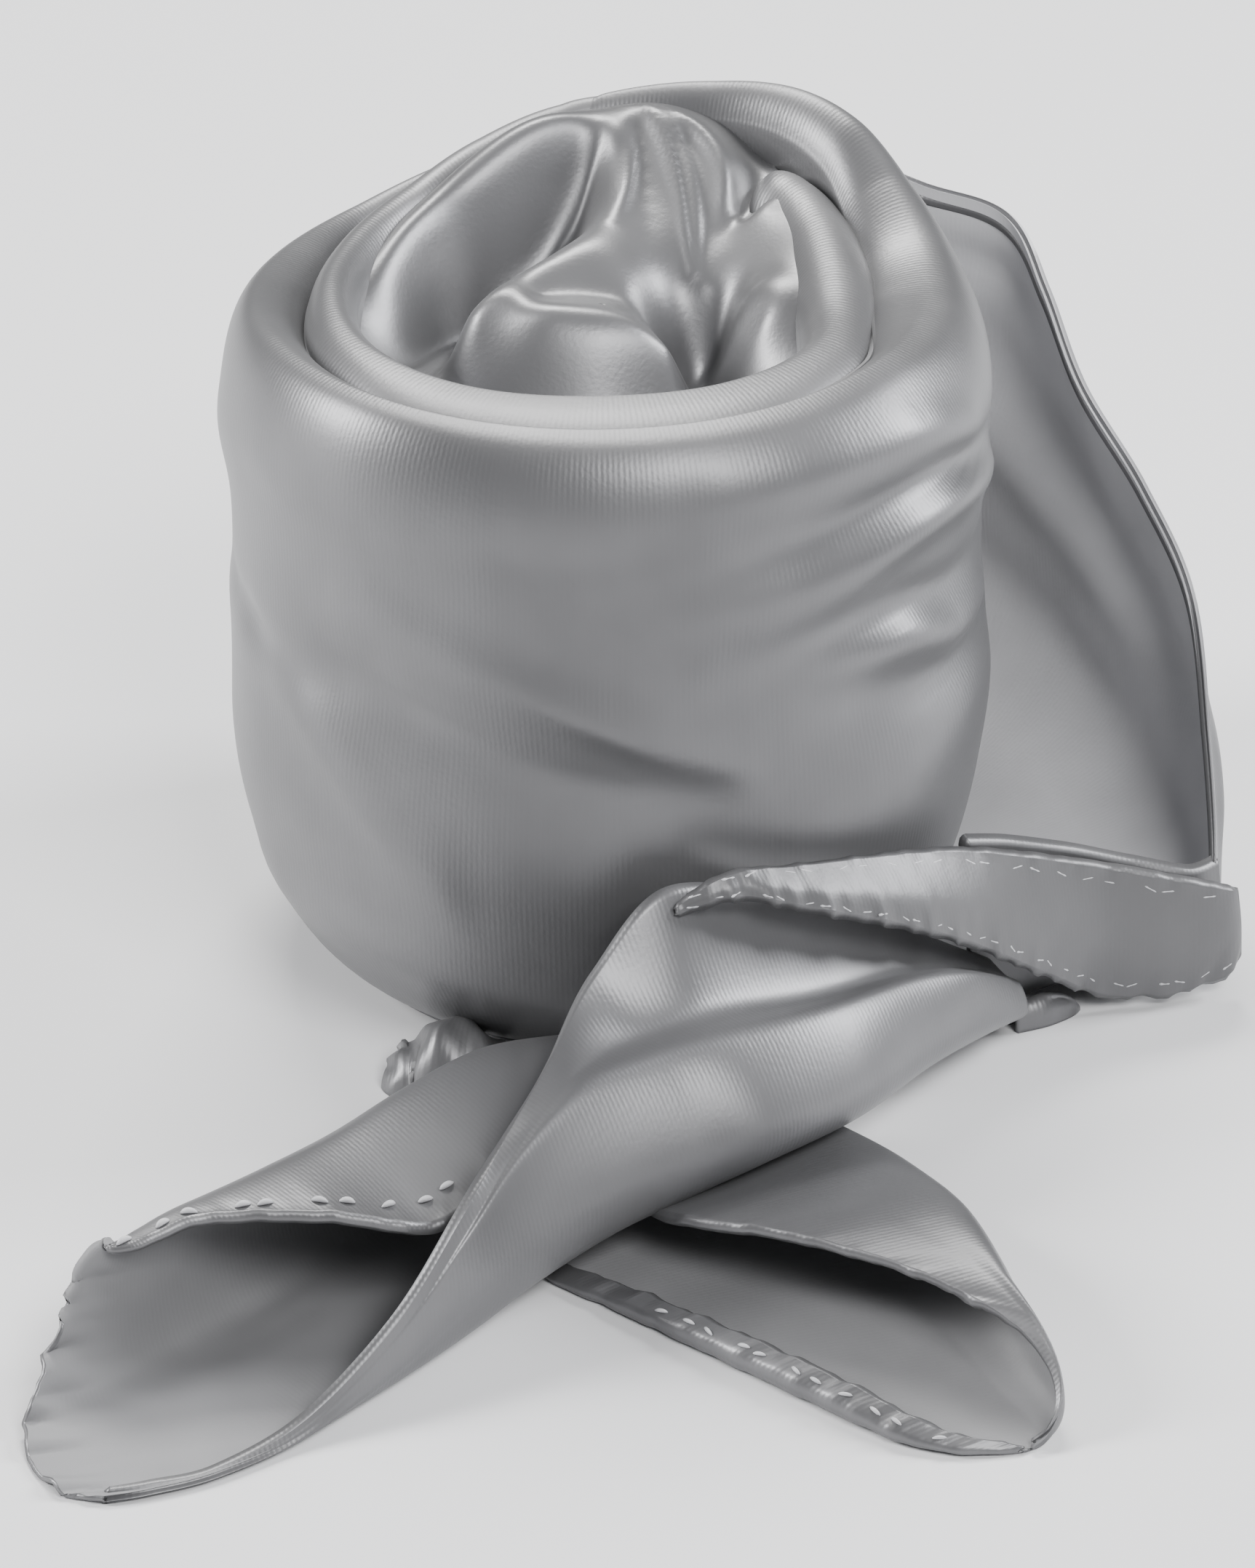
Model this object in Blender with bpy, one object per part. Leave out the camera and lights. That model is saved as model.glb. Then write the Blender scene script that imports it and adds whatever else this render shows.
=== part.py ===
"""A square satin neck scarf rolled into a rose bud that stands on its flat foot.

Lengths below are in millimetres and scaled to metres when the meshes are made.
The bud's axis is x = y = 0, the floor is z = 0 and -Y faces the viewer.
Bearings are in degrees, measured anticlockwise from +X, and each turn of the
roll runs clockwise seen from above as it goes outwards.
"""

import math

import bpy
from mathutils import Vector

MM = 0.001

# The cloth
CLOTH = 1.1
HEM_CLOTH = 1.8
GAP = 0.4
FLOOR = 0.05

# The bud
FOOT_RADIUS = 20.5
FOOT_INSET = 9.2
SHOULDER = 8.0
INNER_FALL = 5.0
TURN_STEP = 10.0

# Outer turn of the roll: rim radius outside, rim width, rim height and how deep its inner side goes
OUTER_TURN = [
    dict(bearing=-266, radius=26.7, width=3.8, rise=60.6, depth=8.0),
    dict(bearing=-275, radius=27.2, width=4.0, rise=61.8, depth=9.0),
    dict(bearing=-290, radius=28.2, width=4.2, rise=63.0, depth=10.0),
    dict(bearing=-305, radius=28.9, width=4.4, rise=63.6, depth=11.0),
    dict(bearing=-318, radius=29.4, width=5.2, rise=62.6, depth=11.0),
    dict(bearing=-330, radius=29.7, width=7.0, rise=59.8, depth=10.5),
    dict(bearing=-345, radius=29.9, width=8.6, rise=57.4, depth=10.0),
    dict(bearing=-360, radius=30.0, width=9.0, rise=56.8, depth=10.0),
    dict(bearing=-375, radius=30.1, width=8.3, rise=56.8, depth=10.0),
    dict(bearing=-390, radius=30.0, width=6.4, rise=57.0, depth=10.0),
    dict(bearing=-420, radius=29.9, width=5.9, rise=57.0, depth=10.0),
    dict(bearing=-450, radius=29.8, width=5.8, rise=56.8, depth=10.0),
    dict(bearing=-490, radius=29.6, width=4.2, rise=57.0, depth=10.0),
    dict(bearing=-520, radius=29.4, width=4.6, rise=56.6, depth=10.0),
    dict(bearing=-550, radius=29.5, width=5.0, rise=55.2, depth=10.0),
    dict(bearing=-580, radius=29.8, width=4.6, rise=54.2, depth=9.0),
    dict(bearing=-600, radius=30.0, width=3.8, rise=55.0, depth=7.0),
    dict(bearing=-614, radius=30.3, width=3.2, rise=58.0, depth=5.0),
    dict(bearing=-627, radius=30.6, width=3.0, rise=60.6, depth=4.0),
]

# How far the outer turn's wall stands in from its rim radius, by height
WALL = [
    dict(height=0.6, inset=9.0),
    dict(height=2.2, inset=6.2),
    dict(height=5.0, inset=3.6),
    dict(height=9.5, inset=1.6),
    dict(height=15.0, inset=0.3),
    dict(height=20.0, inset=-0.2),
    dict(height=25.0, inset=-0.1),
    dict(height=30.0, inset=0.1),
    dict(height=34.0, inset=0.3),
    dict(height=38.0, inset=0.4),
    dict(height=42.0, inset=0.4),
    dict(height=45.5, inset=0.3),
]

# Pull folds on the outer turn's wall, from one bearing and height to another
PULL_FOLDS = [
    dict(start=-352, start_z=45.0, end=-420, end_z=40.0, width=2.6, height=0.75),
    dict(start=-350, start_z=41.0, end=-440, end_z=32.0, width=2.8, height=0.8),
    dict(start=-352, start_z=31.0, end=-405, end_z=27.0, width=2.6, height=0.6),
    dict(start=-545, start_z=25.0, end=-450, end_z=17.0, width=3.6, height=0.7),
    dict(start=-540, start_z=12.0, end=-480, end_z=19.0, width=3.0, height=0.45),
    dict(start=-590, start_z=40.0, end=-640, end_z=30.0, width=3.4, height=0.6),
]

# Inner turn: the right lobe, the strip round the front and left, and its end at the back
INNER_TURN = [
    dict(bearing=62, radius=23.8, width=5.6, rise=57.4, depth=7.0),
    dict(bearing=54, radius=24.0, width=7.4, rise=58.8, depth=9.0),
    dict(bearing=43, radius=23.6, width=8.0, rise=58.9, depth=10.0),
    dict(bearing=30, radius=22.2, width=7.6, rise=58.3, depth=10.5),
    dict(bearing=15, radius=20.7, width=6.8, rise=57.6, depth=10.5),
    dict(bearing=0, radius=20.4, width=6.3, rise=57.0, depth=10.0),
    dict(bearing=-15, radius=21.0, width=6.0, rise=56.6, depth=10.0),
    dict(bearing=-30, radius=22.8, width=6.4, rise=56.4, depth=10.0),
    dict(bearing=-60, radius=23.3, width=6.4, rise=56.1, depth=10.0),
    dict(bearing=-90, radius=23.3, width=6.4, rise=56.0, depth=10.0),
    dict(bearing=-125, radius=24.0, width=5.8, rise=56.4, depth=10.0),
    dict(bearing=-150, radius=23.6, width=5.0, rise=57.2, depth=10.0),
    dict(bearing=-175, radius=22.4, width=4.4, rise=57.5, depth=10.0),
    dict(bearing=-200, radius=21.9, width=4.2, rise=57.4, depth=10.0),
    dict(bearing=-225, radius=22.2, width=4.4, rise=57.8, depth=10.0),
    dict(bearing=-245, radius=23.6, width=4.6, rise=59.6, depth=10.0),
    dict(bearing=-262, radius=25.0, width=4.6, rise=61.2, depth=10.0),
]

# Height of the shared shoulder under the two turns, and the floor of the crown
SHOULDER_HEIGHT = 43.0
CROWN_FLOOR = 46.0

# The crown's folds: a hood that hangs from the back rim and curls over in the middle
CROWN_FOLDS = {
    "hood": [
        dict(x=1.8, y=22.5, rise=62.0, spread=4.5),
        dict(x=-1.0, y=18.5, rise=58.6, spread=4.0),
        dict(x=-2.2, y=12.5, rise=55.8, spread=4.2),
        dict(x=-6.2, y=5.3, rise=55.3, spread=4.2),
        dict(x=-10.2, y=-0.8, rise=54.6, spread=2.8),
    ],
    "veil": [
        dict(x=3.5, y=22.0, rise=62.2, spread=6.0),
        dict(x=3.0, y=12.0, rise=55.8, spread=5.0),
        dict(x=1.5, y=4.0, rise=54.6, spread=6.0),
        dict(x=0.0, y=-1.0, rise=54.6, spread=4.0),
    ],
    "curl": [
        dict(x=-9.8, y=-1.4, rise=54.8, spread=2.2),
        dict(x=-4.1, y=-3.4, rise=55.8, spread=2.6),
        dict(x=0.4, y=-3.2, rise=55.0, spread=2.8),
        dict(x=4.8, y=-4.0, rise=52.6, spread=2.4),
    ],
    "pleat": [
        dict(x=4.6, y=21.0, rise=62.2, spread=2.2),
        dict(x=5.8, y=14.0, rise=57.6, spread=1.6),
        dict(x=6.5, y=8.4, rise=53.4, spread=1.4),
    ],
    "shell": [
        dict(x=7.5, y=19.5, rise=61.2, spread=3.2),
        dict(x=9.8, y=13.6, rise=57.6, spread=2.6),
        dict(x=9.4, y=10.4, rise=55.2, spread=2.0),
        dict(x=8.2, y=8.0, rise=52.4, spread=1.6),
    ],
}

# Side sweep: the last turn, opened out. Four points of each section, top edge to toe on the floor
SIDE_SWEEP = [
    dict(
        bearing=92.2, top_r=31.2, top_z=59.6, mid_r=31.5, mid_z=43,
        low_r=31.6, low_z=20, toe_r=28.6, toe_z=1.0,
    ),
    dict(
        bearing=82, top_r=31.3, top_z=61.0, mid_r=31.9, mid_z=43,
        low_r=31.9, low_z=20, toe_r=28.4, toe_z=1.0,
    ),
    dict(
        bearing=71, top_r=31.8, top_z=60.6, mid_r=32.4, mid_z=42,
        low_r=32.2, low_z=19, toe_r=28.2, toe_z=1.0,
    ),
    dict(
        bearing=58, top_r=34.8, top_z=54.6, mid_r=34.2, mid_z=38,
        low_r=33.2, low_z=17, toe_r=28.0, toe_z=0.8,
    ),
    dict(
        bearing=48, top_r=38.8, top_z=51.2, mid_r=37.8, mid_z=36,
        low_r=35.4, low_z=15, toe_r=27.8, toe_z=0.8,
    ),
    dict(
        bearing=38, top_r=41.6, top_z=49.8, mid_r=40.2, mid_z=34,
        low_r=37.4, low_z=14, toe_r=27.8, toe_z=0.8,
    ),
    dict(
        bearing=28, top_r=40.6, top_z=46.2, mid_r=41.8, mid_z=32,
        low_r=39.8, low_z=12, toe_r=27.8, toe_z=0.8,
    ),
    dict(
        bearing=19, top_r=40.8, top_z=40.8, mid_r=43.4, mid_z=28,
        low_r=42.0, low_z=10, toe_r=27.8, toe_z=0.8,
    ),
    dict(
        bearing=10, top_r=44.0, top_z=34.6, mid_r=46.0, mid_z=23,
        low_r=44.6, low_z=7, toe_r=28.0, toe_z=0.8,
    ),
    dict(
        bearing=2, top_r=47.0, top_z=28.0, mid_r=48.2, mid_z=18,
        low_r=46.8, low_z=5, toe_r=30.0, toe_z=0.8,
    ),
    dict(
        bearing=-4, top_r=48.4, top_z=18.5, mid_r=49.2, mid_z=12,
        low_r=48.4, low_z=3, toe_r=34.5, toe_z=0.8,
    ),
    dict(
        bearing=-9, top_r=49.6, top_z=11.0, mid_r=50.2, mid_z=7,
        low_r=49.2, low_z=1.6, toe_r=38.5, toe_z=0.8,
    ),
]

# Front hem: the edge of the sweep that stands across the front, from the right corner inwards
FRONT_HEM = [
    dict(x=49.0, y=-8.9, rise=9.9, lean=0.6, toe=0.8),
    dict(x=46.4, y=-10.9, rise=10.2, lean=0.8, toe=1.8),
    dict(x=41.5, y=-11.6, rise=11.6, lean=0.8, toe=3.6),
    dict(x=36.5, y=-13.0, rise=13.6, lean=0.6, toe=4.4),
    dict(x=31.8, y=-15.8, rise=16.0, lean=0.6, toe=3.5),
    dict(x=28.4, y=-18.0, rise=17.4, lean=0.6, toe=2.4),
]

# Hem flap: the turned-over edge outside the front hem, upper edge and lower edge of each section
HEM_FLAP = [
    dict(x=9.6, y=-33.8, rise=24.4, drop=1.4, kick=1.6),
    dict(x=15.4, y=-30.0, rise=22.8, drop=2.6, kick=2.8),
    dict(x=21.8, y=-25.2, rise=20.8, drop=4.6, kick=3.4),
    dict(x=27.6, y=-21.0, rise=18.6, drop=7.2, kick=3.0),
    dict(x=33.2, y=-17.4, rise=15.8, drop=9.6, kick=1.6),
    dict(x=38.8, y=-14.4, rise=13.0, drop=11.4, kick=1.2),
    dict(x=44.6, y=-13.4, rise=11.2, drop=10.2, kick=1.2),
    dict(x=49.4, y=-12.0, rise=9.6, drop=8.4, kick=0.8),
]

# Front tail: near floor edge, bearing across it, and the section's hems, crest and far side
FRONT_TAIL = [
    dict(
        x=-34.6, y=-77.0, across=122, width=11.8, lift=0.2, hem_u=0.2, hem_z=2.0,
        sag=0.0, crest_u=-0.1, crest_z=1.4, far_z=2.4, edge_u=11.6, edge_z=3.6,
    ),
    dict(
        x=-30.8, y=-76.2, across=128, width=14.6, lift=0.2, hem_u=0.0, hem_z=2.6,
        sag=0.0, crest_u=-0.3, crest_z=1.8, far_z=6.2, edge_u=14.2, edge_z=8.2,
    ),
    dict(
        x=-26.0, y=-73.8, across=131, width=16.2, lift=0.2, hem_u=-0.2, hem_z=3.6,
        sag=0.0, crest_u=-0.4, crest_z=2.6, far_z=8.8, edge_u=15.4, edge_z=10.6,
    ),
    dict(
        x=-20.2, y=-69.4, across=131, width=17.0, lift=0.2, hem_u=-0.2, hem_z=5.4,
        sag=0.0, crest_u=-0.4, crest_z=4.0, far_z=10.6, edge_u=13.4, edge_z=12.4,
    ),
    dict(
        x=-14.4, y=-64.4, across=131, width=17.4, lift=0.2, hem_u=0.0, hem_z=8.2,
        sag=0.0, crest_u=-0.3, crest_z=6.6, far_z=11.8, edge_u=5.4, edge_z=11.8,
    ),
    dict(
        x=-9.4, y=-60.0, across=131, width=17.6, lift=0.6, hem_u=1.2, hem_z=11.8,
        sag=0.0, crest_u=0.1, crest_z=10.4, far_z=12.2, edge_u=3.4, edge_z=9.8,
    ),
    dict(
        x=-4.2, y=-55.4, across=131, width=18.0, lift=2.0, hem_u=4.0, hem_z=14.0,
        sag=-0.3, crest_u=1.8, crest_z=13.0, far_z=12.6, edge_u=4.4, edge_z=11.0,
    ),
    dict(
        x=1.6, y=-51.4, across=131, width=18.2, lift=3.6, hem_u=7.8, hem_z=15.8,
        sag=-0.3, crest_u=3.2, crest_z=15.0, far_z=13.2, edge_u=5.4, edge_z=12.0,
    ),
    dict(
        x=7.0, y=-48.4, across=129, width=17.0, lift=4.6, hem_u=11.6, hem_z=18.8,
        sag=1.2, crest_u=3.8, crest_z=15.6, far_z=12.6, edge_u=6.4, edge_z=12.0,
    ),
    dict(
        x=12.6, y=-45.4, across=125, width=15.4, lift=5.6, hem_u=13.4, hem_z=23.2,
        sag=3.0, crest_u=3.8, crest_z=15.6, far_z=12.0, edge_u=6.6, edge_z=12.0,
    ),
    dict(
        x=19.6, y=-39.4, across=124, width=12.4, lift=5.4, hem_u=12.1, hem_z=21.2,
        sag=2.8, crest_u=3.2, crest_z=14.6, far_z=11.2, edge_u=6.0, edge_z=11.2,
    ),
    dict(
        x=25.6, y=-31.0, across=128, width=9.0, lift=4.4, hem_u=8.4, hem_z=19.2,
        sag=1.8, crest_u=2.0, crest_z=12.0, far_z=9.8, edge_u=4.2, edge_z=9.2,
    ),
    dict(
        x=28.4, y=-26.4, across=132, width=7.0, lift=3.4, hem_u=5.8, hem_z=17.6,
        sag=1.0, crest_u=1.0, crest_z=10.6, far_z=8.6, edge_u=3.0, edge_z=7.8,
    ),
]

# Rear tail: floor edge on the left, wall on the right, and the flap that folds over from the right
REAR_TAIL = [
    dict(left_x=-1.4, left_y=-45.0, right_x=14.8, right_y=-32.6, rise=3.6, flap=7.0, strip=0.8),
    dict(left_x=-1.2, left_y=-51.4, right_x=20.6, right_y=-39.4, rise=5.0, flap=11.0, strip=0.9),
    dict(left_x=-0.2, left_y=-54.0, right_x=23.8, right_y=-44.6, rise=6.8, flap=16.0, strip=1.2),
    dict(left_x=4.2, left_y=-58.0, right_x=27.0, right_y=-51.0, rise=7.8, flap=12.0, strip=1.8),
    dict(left_x=10.4, left_y=-63.0, right_x=29.6, right_y=-57.6, rise=7.8, flap=7.0, strip=1.8),
    dict(left_x=16.4, left_y=-67.8, right_x=31.4, right_y=-63.4, rise=7.0, flap=2.0, strip=1.8),
    dict(left_x=20.8, left_y=-70.8, right_x=32.4, right_y=-67.2, rise=5.0, flap=1.0, strip=1.6),
    dict(left_x=25.0, left_y=-72.2, right_x=31.8, right_y=-70.2, rise=2.8, flap=0.6, strip=1.2),
]

# Foot tucks: small folds pushed out from under the bud, root to tip
LEFT_TUCK = [
    dict(x=-7.6, y=-25.4, half=3.4, rise=3.2),
    dict(x=-9.8, y=-25.6, half=3.9, rise=4.6),
    dict(x=-12.6, y=-25.4, half=3.8, rise=5.2),
    dict(x=-15.8, y=-24.4, half=2.8, rise=4.6),
]
RIGHT_TUCK = [
    dict(x=32.4, y=-17.6, half=0.9, rise=2.0),
    dict(x=34.6, y=-16.4, half=1.1, rise=2.3),
    dict(x=36.6, y=-15.4, half=0.9, rise=1.7),
]


def eased(before, start, end, after, t):
    """A smooth value between start and end that keeps the slope of its neighbours."""
    slope_start = (end - before) / 2
    slope_end = (after - start) / 2
    a = 2 * t**3 - 3 * t**2 + 1
    b = t**3 - 2 * t**2 + t
    c = -2 * t**3 + 3 * t**2
    d = t**3 - t**2
    return a * start + b * slope_start + c * end + d * slope_end


def row_between(rows, index, t):
    """The row that lies t of the way from one row to the next, column by column."""
    last = len(rows) - 1
    found = {}
    for column in rows[0]:
        before = rows[max(index - 1, 0)][column]
        start = rows[index][column]
        end = rows[min(index + 1, last)][column]
        after = rows[min(index + 2, last)][column]
        found[column] = eased(before, start, end, after, t)
    return found


def row_at(rows, column, value):
    """The smooth row where a steadily changing column has this value."""
    rising = rows[-1][column] > rows[0][column]
    for index in range(len(rows) - 1):
        start = rows[index][column]
        end = rows[index + 1][column]
        inside = value <= end if rising else value >= end
        if inside or index == len(rows) - 2:
            t = min(max((value - start) / (end - start), 0.0), 1.0)
            return row_between(rows, index, t)


def refined(rows, steps):
    """The rows of a table with smooth ones between them."""
    found = []
    for index in range(len(rows) - 1):
        for step in range(steps):
            found.append(row_between(rows, index, step / steps))
    found.append(dict(rows[-1]))
    return found


def line_through(points, steps):
    """A smooth line through plane points."""
    rows = [dict(u=p[0], z=p[1]) for p in points]
    return [(row["u"], row["z"]) for row in refined(rows, steps)]


def offset_line(line, thickness):
    """The line moved sideways by its thickness at each point, to its right-hand side."""
    moved = []
    last = len(line) - 1
    for index, point in enumerate(line):
        before = line[max(index - 1, 0)]
        after = line[min(index + 1, last)]
        du = after[0] - before[0]
        dz = after[1] - before[1]
        length = math.hypot(du, dz)
        amount = thickness[index] if isinstance(thickness, list) else thickness
        moved.append((point[0] + dz / length * amount, point[1] - du / length * amount))
    return moved


def hem_thickness(count, start=True, end=True, rows=2):
    """Wall thickness along a line, swelling to the hem at its ends."""
    found = []
    for index in range(count):
        at_start = start and index < rows
        at_end = end and index >= count - rows
        found.append(HEM_CLOTH if at_start or at_end else CLOTH)
    return found


def material(name, shade, roughness):
    mat = bpy.data.materials.new(name)
    mat.use_nodes = True
    shader = mat.node_tree.nodes["Principled BSDF"]
    shader.inputs["Base Color"].default_value = (shade, shade, shade * 1.03, 1.0)
    shader.inputs["Roughness"].default_value = roughness
    return mat


def solid(name, points, faces, mat):
    """One closed mesh, its faces turned outwards."""
    mesh = bpy.data.meshes.new(name)
    mesh.from_pydata([tuple(c * MM for c in p) for p in points], [], faces)
    mesh.update()
    volume = 0.0
    for polygon in mesh.polygons:
        corners = [mesh.vertices[i].co for i in polygon.vertices]
        for k in range(1, len(corners) - 1):
            volume += corners[0].dot(corners[k].cross(corners[k + 1]))
    if volume < 0:
        mesh.flip_normals()
    mesh.shade_smooth()
    mesh.set_sharp_from_angle(angle=math.radians(50))
    mesh.materials.append(mat)
    obj = bpy.data.objects.new(name, mesh)
    bpy.context.scene.collection.objects.link(obj)
    return obj


def cloth_wall(name, sections, mat):
    """A wall of cloth: each section is a pair of lines, one for each face of the cloth."""
    count = len(sections[0][0])
    points = []
    for face_a, face_b in sections:
        points += list(face_a) + list(face_b)
    faces = []
    ring = 2 * count
    loop = list(range(count)) + list(range(ring - 1, count - 1, -1))
    for section in range(len(sections) - 1):
        base = section * ring
        for k in range(ring):
            a = loop[k]
            b = loop[(k + 1) % ring]
            faces.append((base + a, base + b, base + ring + b, base + ring + a))
    for section in (0, len(sections) - 1):
        base = section * ring
        for k in range(count - 1):
            end = (base + k, base + count + k, base + count + k + 1, base + k + 1)
            faces.append(end if section == 0 else end[::-1])
    return solid(name, points, faces, mat)


def round_place(bearing, line):
    """Section points given as radius and height, placed at a bearing."""
    angle = math.radians(bearing)
    return [Vector((r * math.cos(angle), r * math.sin(angle), z)) for r, z in line]


def across_place(x, y, bearing, line):
    """Section points given as distance across and height, placed from a floor point."""
    angle = math.radians(bearing)
    return [Vector((x + u * math.cos(angle), y + u * math.sin(angle), z)) for u, z in line]


def fold_swell(bearing, height):
    """How far the pull folds push the wall out at this place."""
    swell = 0.0
    for fold in PULL_FOLDS:
        span = fold["end"] - fold["start"]
        t = (bearing - fold["start"]) / span
        if t < 0 or t > 1:
            continue
        ridge = fold["start_z"] + t * (fold["end_z"] - fold["start_z"])
        fade = math.sin(math.pi * (0.15 + 0.85 * t)) if t > 0.4 else 0.95
        swell += fold["height"] * max(fade, 0.0) * math.exp(-(((height - ridge) / fold["width"]) ** 2))
    return swell


def rim_line(row, shoulder, steps):
    """The outer face of a rolled rim: shoulder, crest and inner side."""
    half = row["width"] / 2
    centre = row["radius"] - half
    line = []
    for k in range(steps):
        angle = math.pi / 2 * k / steps
        line.append((centre + half * math.cos(angle), row["rise"] - shoulder * (1 - math.sin(angle))))
    fall = min(INNER_FALL, row["depth"] - 0.5)
    for k in range(steps + 1):
        angle = math.pi / 2 * (1 - k / steps)
        line.append((centre - half * math.cos(angle), row["rise"] - fall * (1 - math.sin(angle))))
    line.append((row["radius"] - row["width"], row["rise"] - max(row["depth"], fall + 0.4)))
    return line


def outer_turn_line(bearing):
    row = row_at(OUTER_TURN, "bearing", bearing)
    line = []
    for level in WALL:
        height = level["height"] * (row["rise"] - SHOULDER - 2.5) / 46.5
        out = row["radius"] - level["inset"] + fold_swell(bearing, height)
        line.append((out, height))
    return line + rim_line(row, SHOULDER, 4)


def inner_turn_line(bearing):
    row = row_at(INNER_TURN, "bearing", bearing)
    line = rim_line(row, INNER_FALL, 4)
    return [(row["radius"] + 0.1, SHOULDER_HEIGHT + GAP + 0.5)] + line


def bearings(start, end, step):
    count = max(int(round(abs(end - start) / step)), 1)
    return [start + (end - start) * k / count for k in range(count + 1)]


def turn(name, section_line, table, mat):
    sections = []
    for bearing in bearings(table[0]["bearing"], table[-1]["bearing"], TURN_STEP):
        face = section_line(bearing)
        inside = offset_line(face, -CLOTH)
        sections.append((round_place(bearing, face), round_place(bearing, inside)))
    return cloth_wall(name, sections, mat)


def nearest_on_fold(fold, x, y):
    """Distance from a place to a fold's line, and the fold's rise and spread there."""
    best = None
    for start, end in zip(fold, fold[1:]):
        dx = end["x"] - start["x"]
        dy = end["y"] - start["y"]
        t = ((x - start["x"]) * dx + (y - start["y"]) * dy) / (dx * dx + dy * dy)
        t = min(max(t, 0.0), 1.0)
        distance = math.hypot(x - start["x"] - t * dx, y - start["y"] - t * dy)
        if best is None or distance < best[0]:
            rise = start["rise"] + t * (end["rise"] - start["rise"])
            spread = start["spread"] + t * (end["spread"] - start["spread"])
            best = (distance, rise, spread)
    return best


def crown_height(x, y):
    """The crown's height: each fold rises from the crown's floor, and the tallest one shows."""
    total = 0.0
    for fold in CROWN_FOLDS.values():
        distance, rise, spread = nearest_on_fold(fold, x, y)
        total += ((rise - CROWN_FLOOR) * math.exp(-((distance / spread) ** 2))) ** 6
    return CROWN_FLOOR + total ** (1 / 6)


def core_radius(bearing, height):
    """How far the rolled layers reach under the outer turn, a gap inside its inner face."""
    turned = bearing if bearing <= -275 else bearing - 360
    reach = []
    for candidate in (turned, turned - 360, turned + 360):
        if OUTER_TURN[-1]["bearing"] - 4 <= candidate <= OUTER_TURN[0]["bearing"] + 4:
            row = row_at(OUTER_TURN, "bearing", candidate)
            level = height * 46.5 / (row["rise"] - SHOULDER - 2.5)
            inset = row_at(WALL, "height", level)["inset"]
            reach.append(row["radius"] - inset - CLOTH - GAP)
    return min(reach)


def crown_edge(bearing):
    """Where the crown ends: at the inner turn, and between its ends at the back rim."""
    turned = bearing
    while turned < INNER_TURN[-1]["bearing"]:
        turned += 360
    first = INNER_TURN[0]["bearing"]
    last = INNER_TURN[-1]["bearing"] + 360
    row = row_at(INNER_TURN, "bearing", min(turned, first))
    if turned > last or turned < first:
        row = row_at(INNER_TURN, "bearing", turned - 360 if turned > last else turned)
        return row["radius"] - row["width"] - GAP - 0.5
    back = row_at(OUTER_TURN, "bearing", turned - 360)
    return back["radius"] - back["width"] - GAP


def crown_radius(bearing):
    """How far the crown reaches, kept clear of the inner turn's two ends."""
    return min(crown_edge(bearing + aside) for aside in (-5.0, -2.5, 0.0, 2.5, 5.0))


def core_folds(mat):
    """The layers that share one body: the flat foot, the hidden roll and the crown's folds."""
    steps = 40
    rings = []
    for level, height in enumerate((0.0, 0.0, 1.2, 6.0, 12.0, 20.0, 30.0, 39.0, SHOULDER_HEIGHT)):
        ring = []
        for k in range(steps):
            bearing = -275 - 360 * k / steps
            angle = math.radians(bearing)
            radius = core_radius(bearing, max(height, 1.0))
            if level == 0:
                radius = FOOT_RADIUS * 0.5
            if level == 1:
                radius = core_radius(bearing, 20.0) - FOOT_INSET - 0.4
            if level == 2:
                radius = core_radius(bearing, 20.0) - FOOT_INSET
            if level == 3:
                radius -= 0.3
            if height == SHOULDER_HEIGHT:
                radius -= 1.2
            ring.append(Vector((radius * math.cos(angle), radius * math.sin(angle), height)))
        rings.append(ring)
    for share in (1.0, 0.98, 0.9, 0.81, 0.72, 0.62, 0.52, 0.41, 0.29, 0.15):
        ring = []
        for k in range(steps):
            bearing = -275 - 360 * k / steps
            angle = math.radians(bearing)
            radius = crown_radius(bearing) * share
            x = radius * math.cos(angle)
            y = radius * math.sin(angle)
            height = SHOULDER_HEIGHT if share == 1.0 else crown_height(x, y)
            ring.append(Vector((x, y, height)))
        rings.append(ring)
    points = [p for ring in rings for p in ring]
    faces = []
    for level in range(len(rings) - 1):
        for k in range(steps):
            a = level * steps + k
            b = level * steps + (k + 1) % steps
            faces.append((a, b, b + steps, a + steps))
    foot = len(points)
    points.append(Vector((0, 0, 0)))
    top = len(points)
    points.append(Vector((0, 0, crown_height(0, 0))))
    last = (len(rings) - 1) * steps
    for k in range(steps):
        n = (k + 1) % steps
        faces.append((n, k, foot))
        faces.append((last + k, last + n, top))
    return solid("core_folds", points, faces, mat)


def side_sweep(mat):
    sections = []
    for bearing in bearings(SIDE_SWEEP[0]["bearing"], SIDE_SWEEP[-1]["bearing"], 4.5):
        row = row_at(SIDE_SWEEP, "bearing", bearing)
        controls = [(row[k + "_r"], row[k + "_z"]) for k in ("top", "mid", "low", "toe")]
        line = line_through(controls, 4)
        inside = offset_line(line, hem_thickness(len(line), end=False))
        sections.append((round_place(bearing, line), round_place(bearing, inside)))
    return cloth_wall("side_sweep", sections, mat)


def path_bearing(rows, index):
    """The bearing that points outwards from a path which runs with the bud on its right."""
    before = rows[max(index - 1, 0)]
    after = rows[min(index + 1, len(rows) - 1)]
    heading = math.atan2(after["y"] - before["y"], after["x"] - before["x"])
    return math.degrees(heading)


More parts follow.
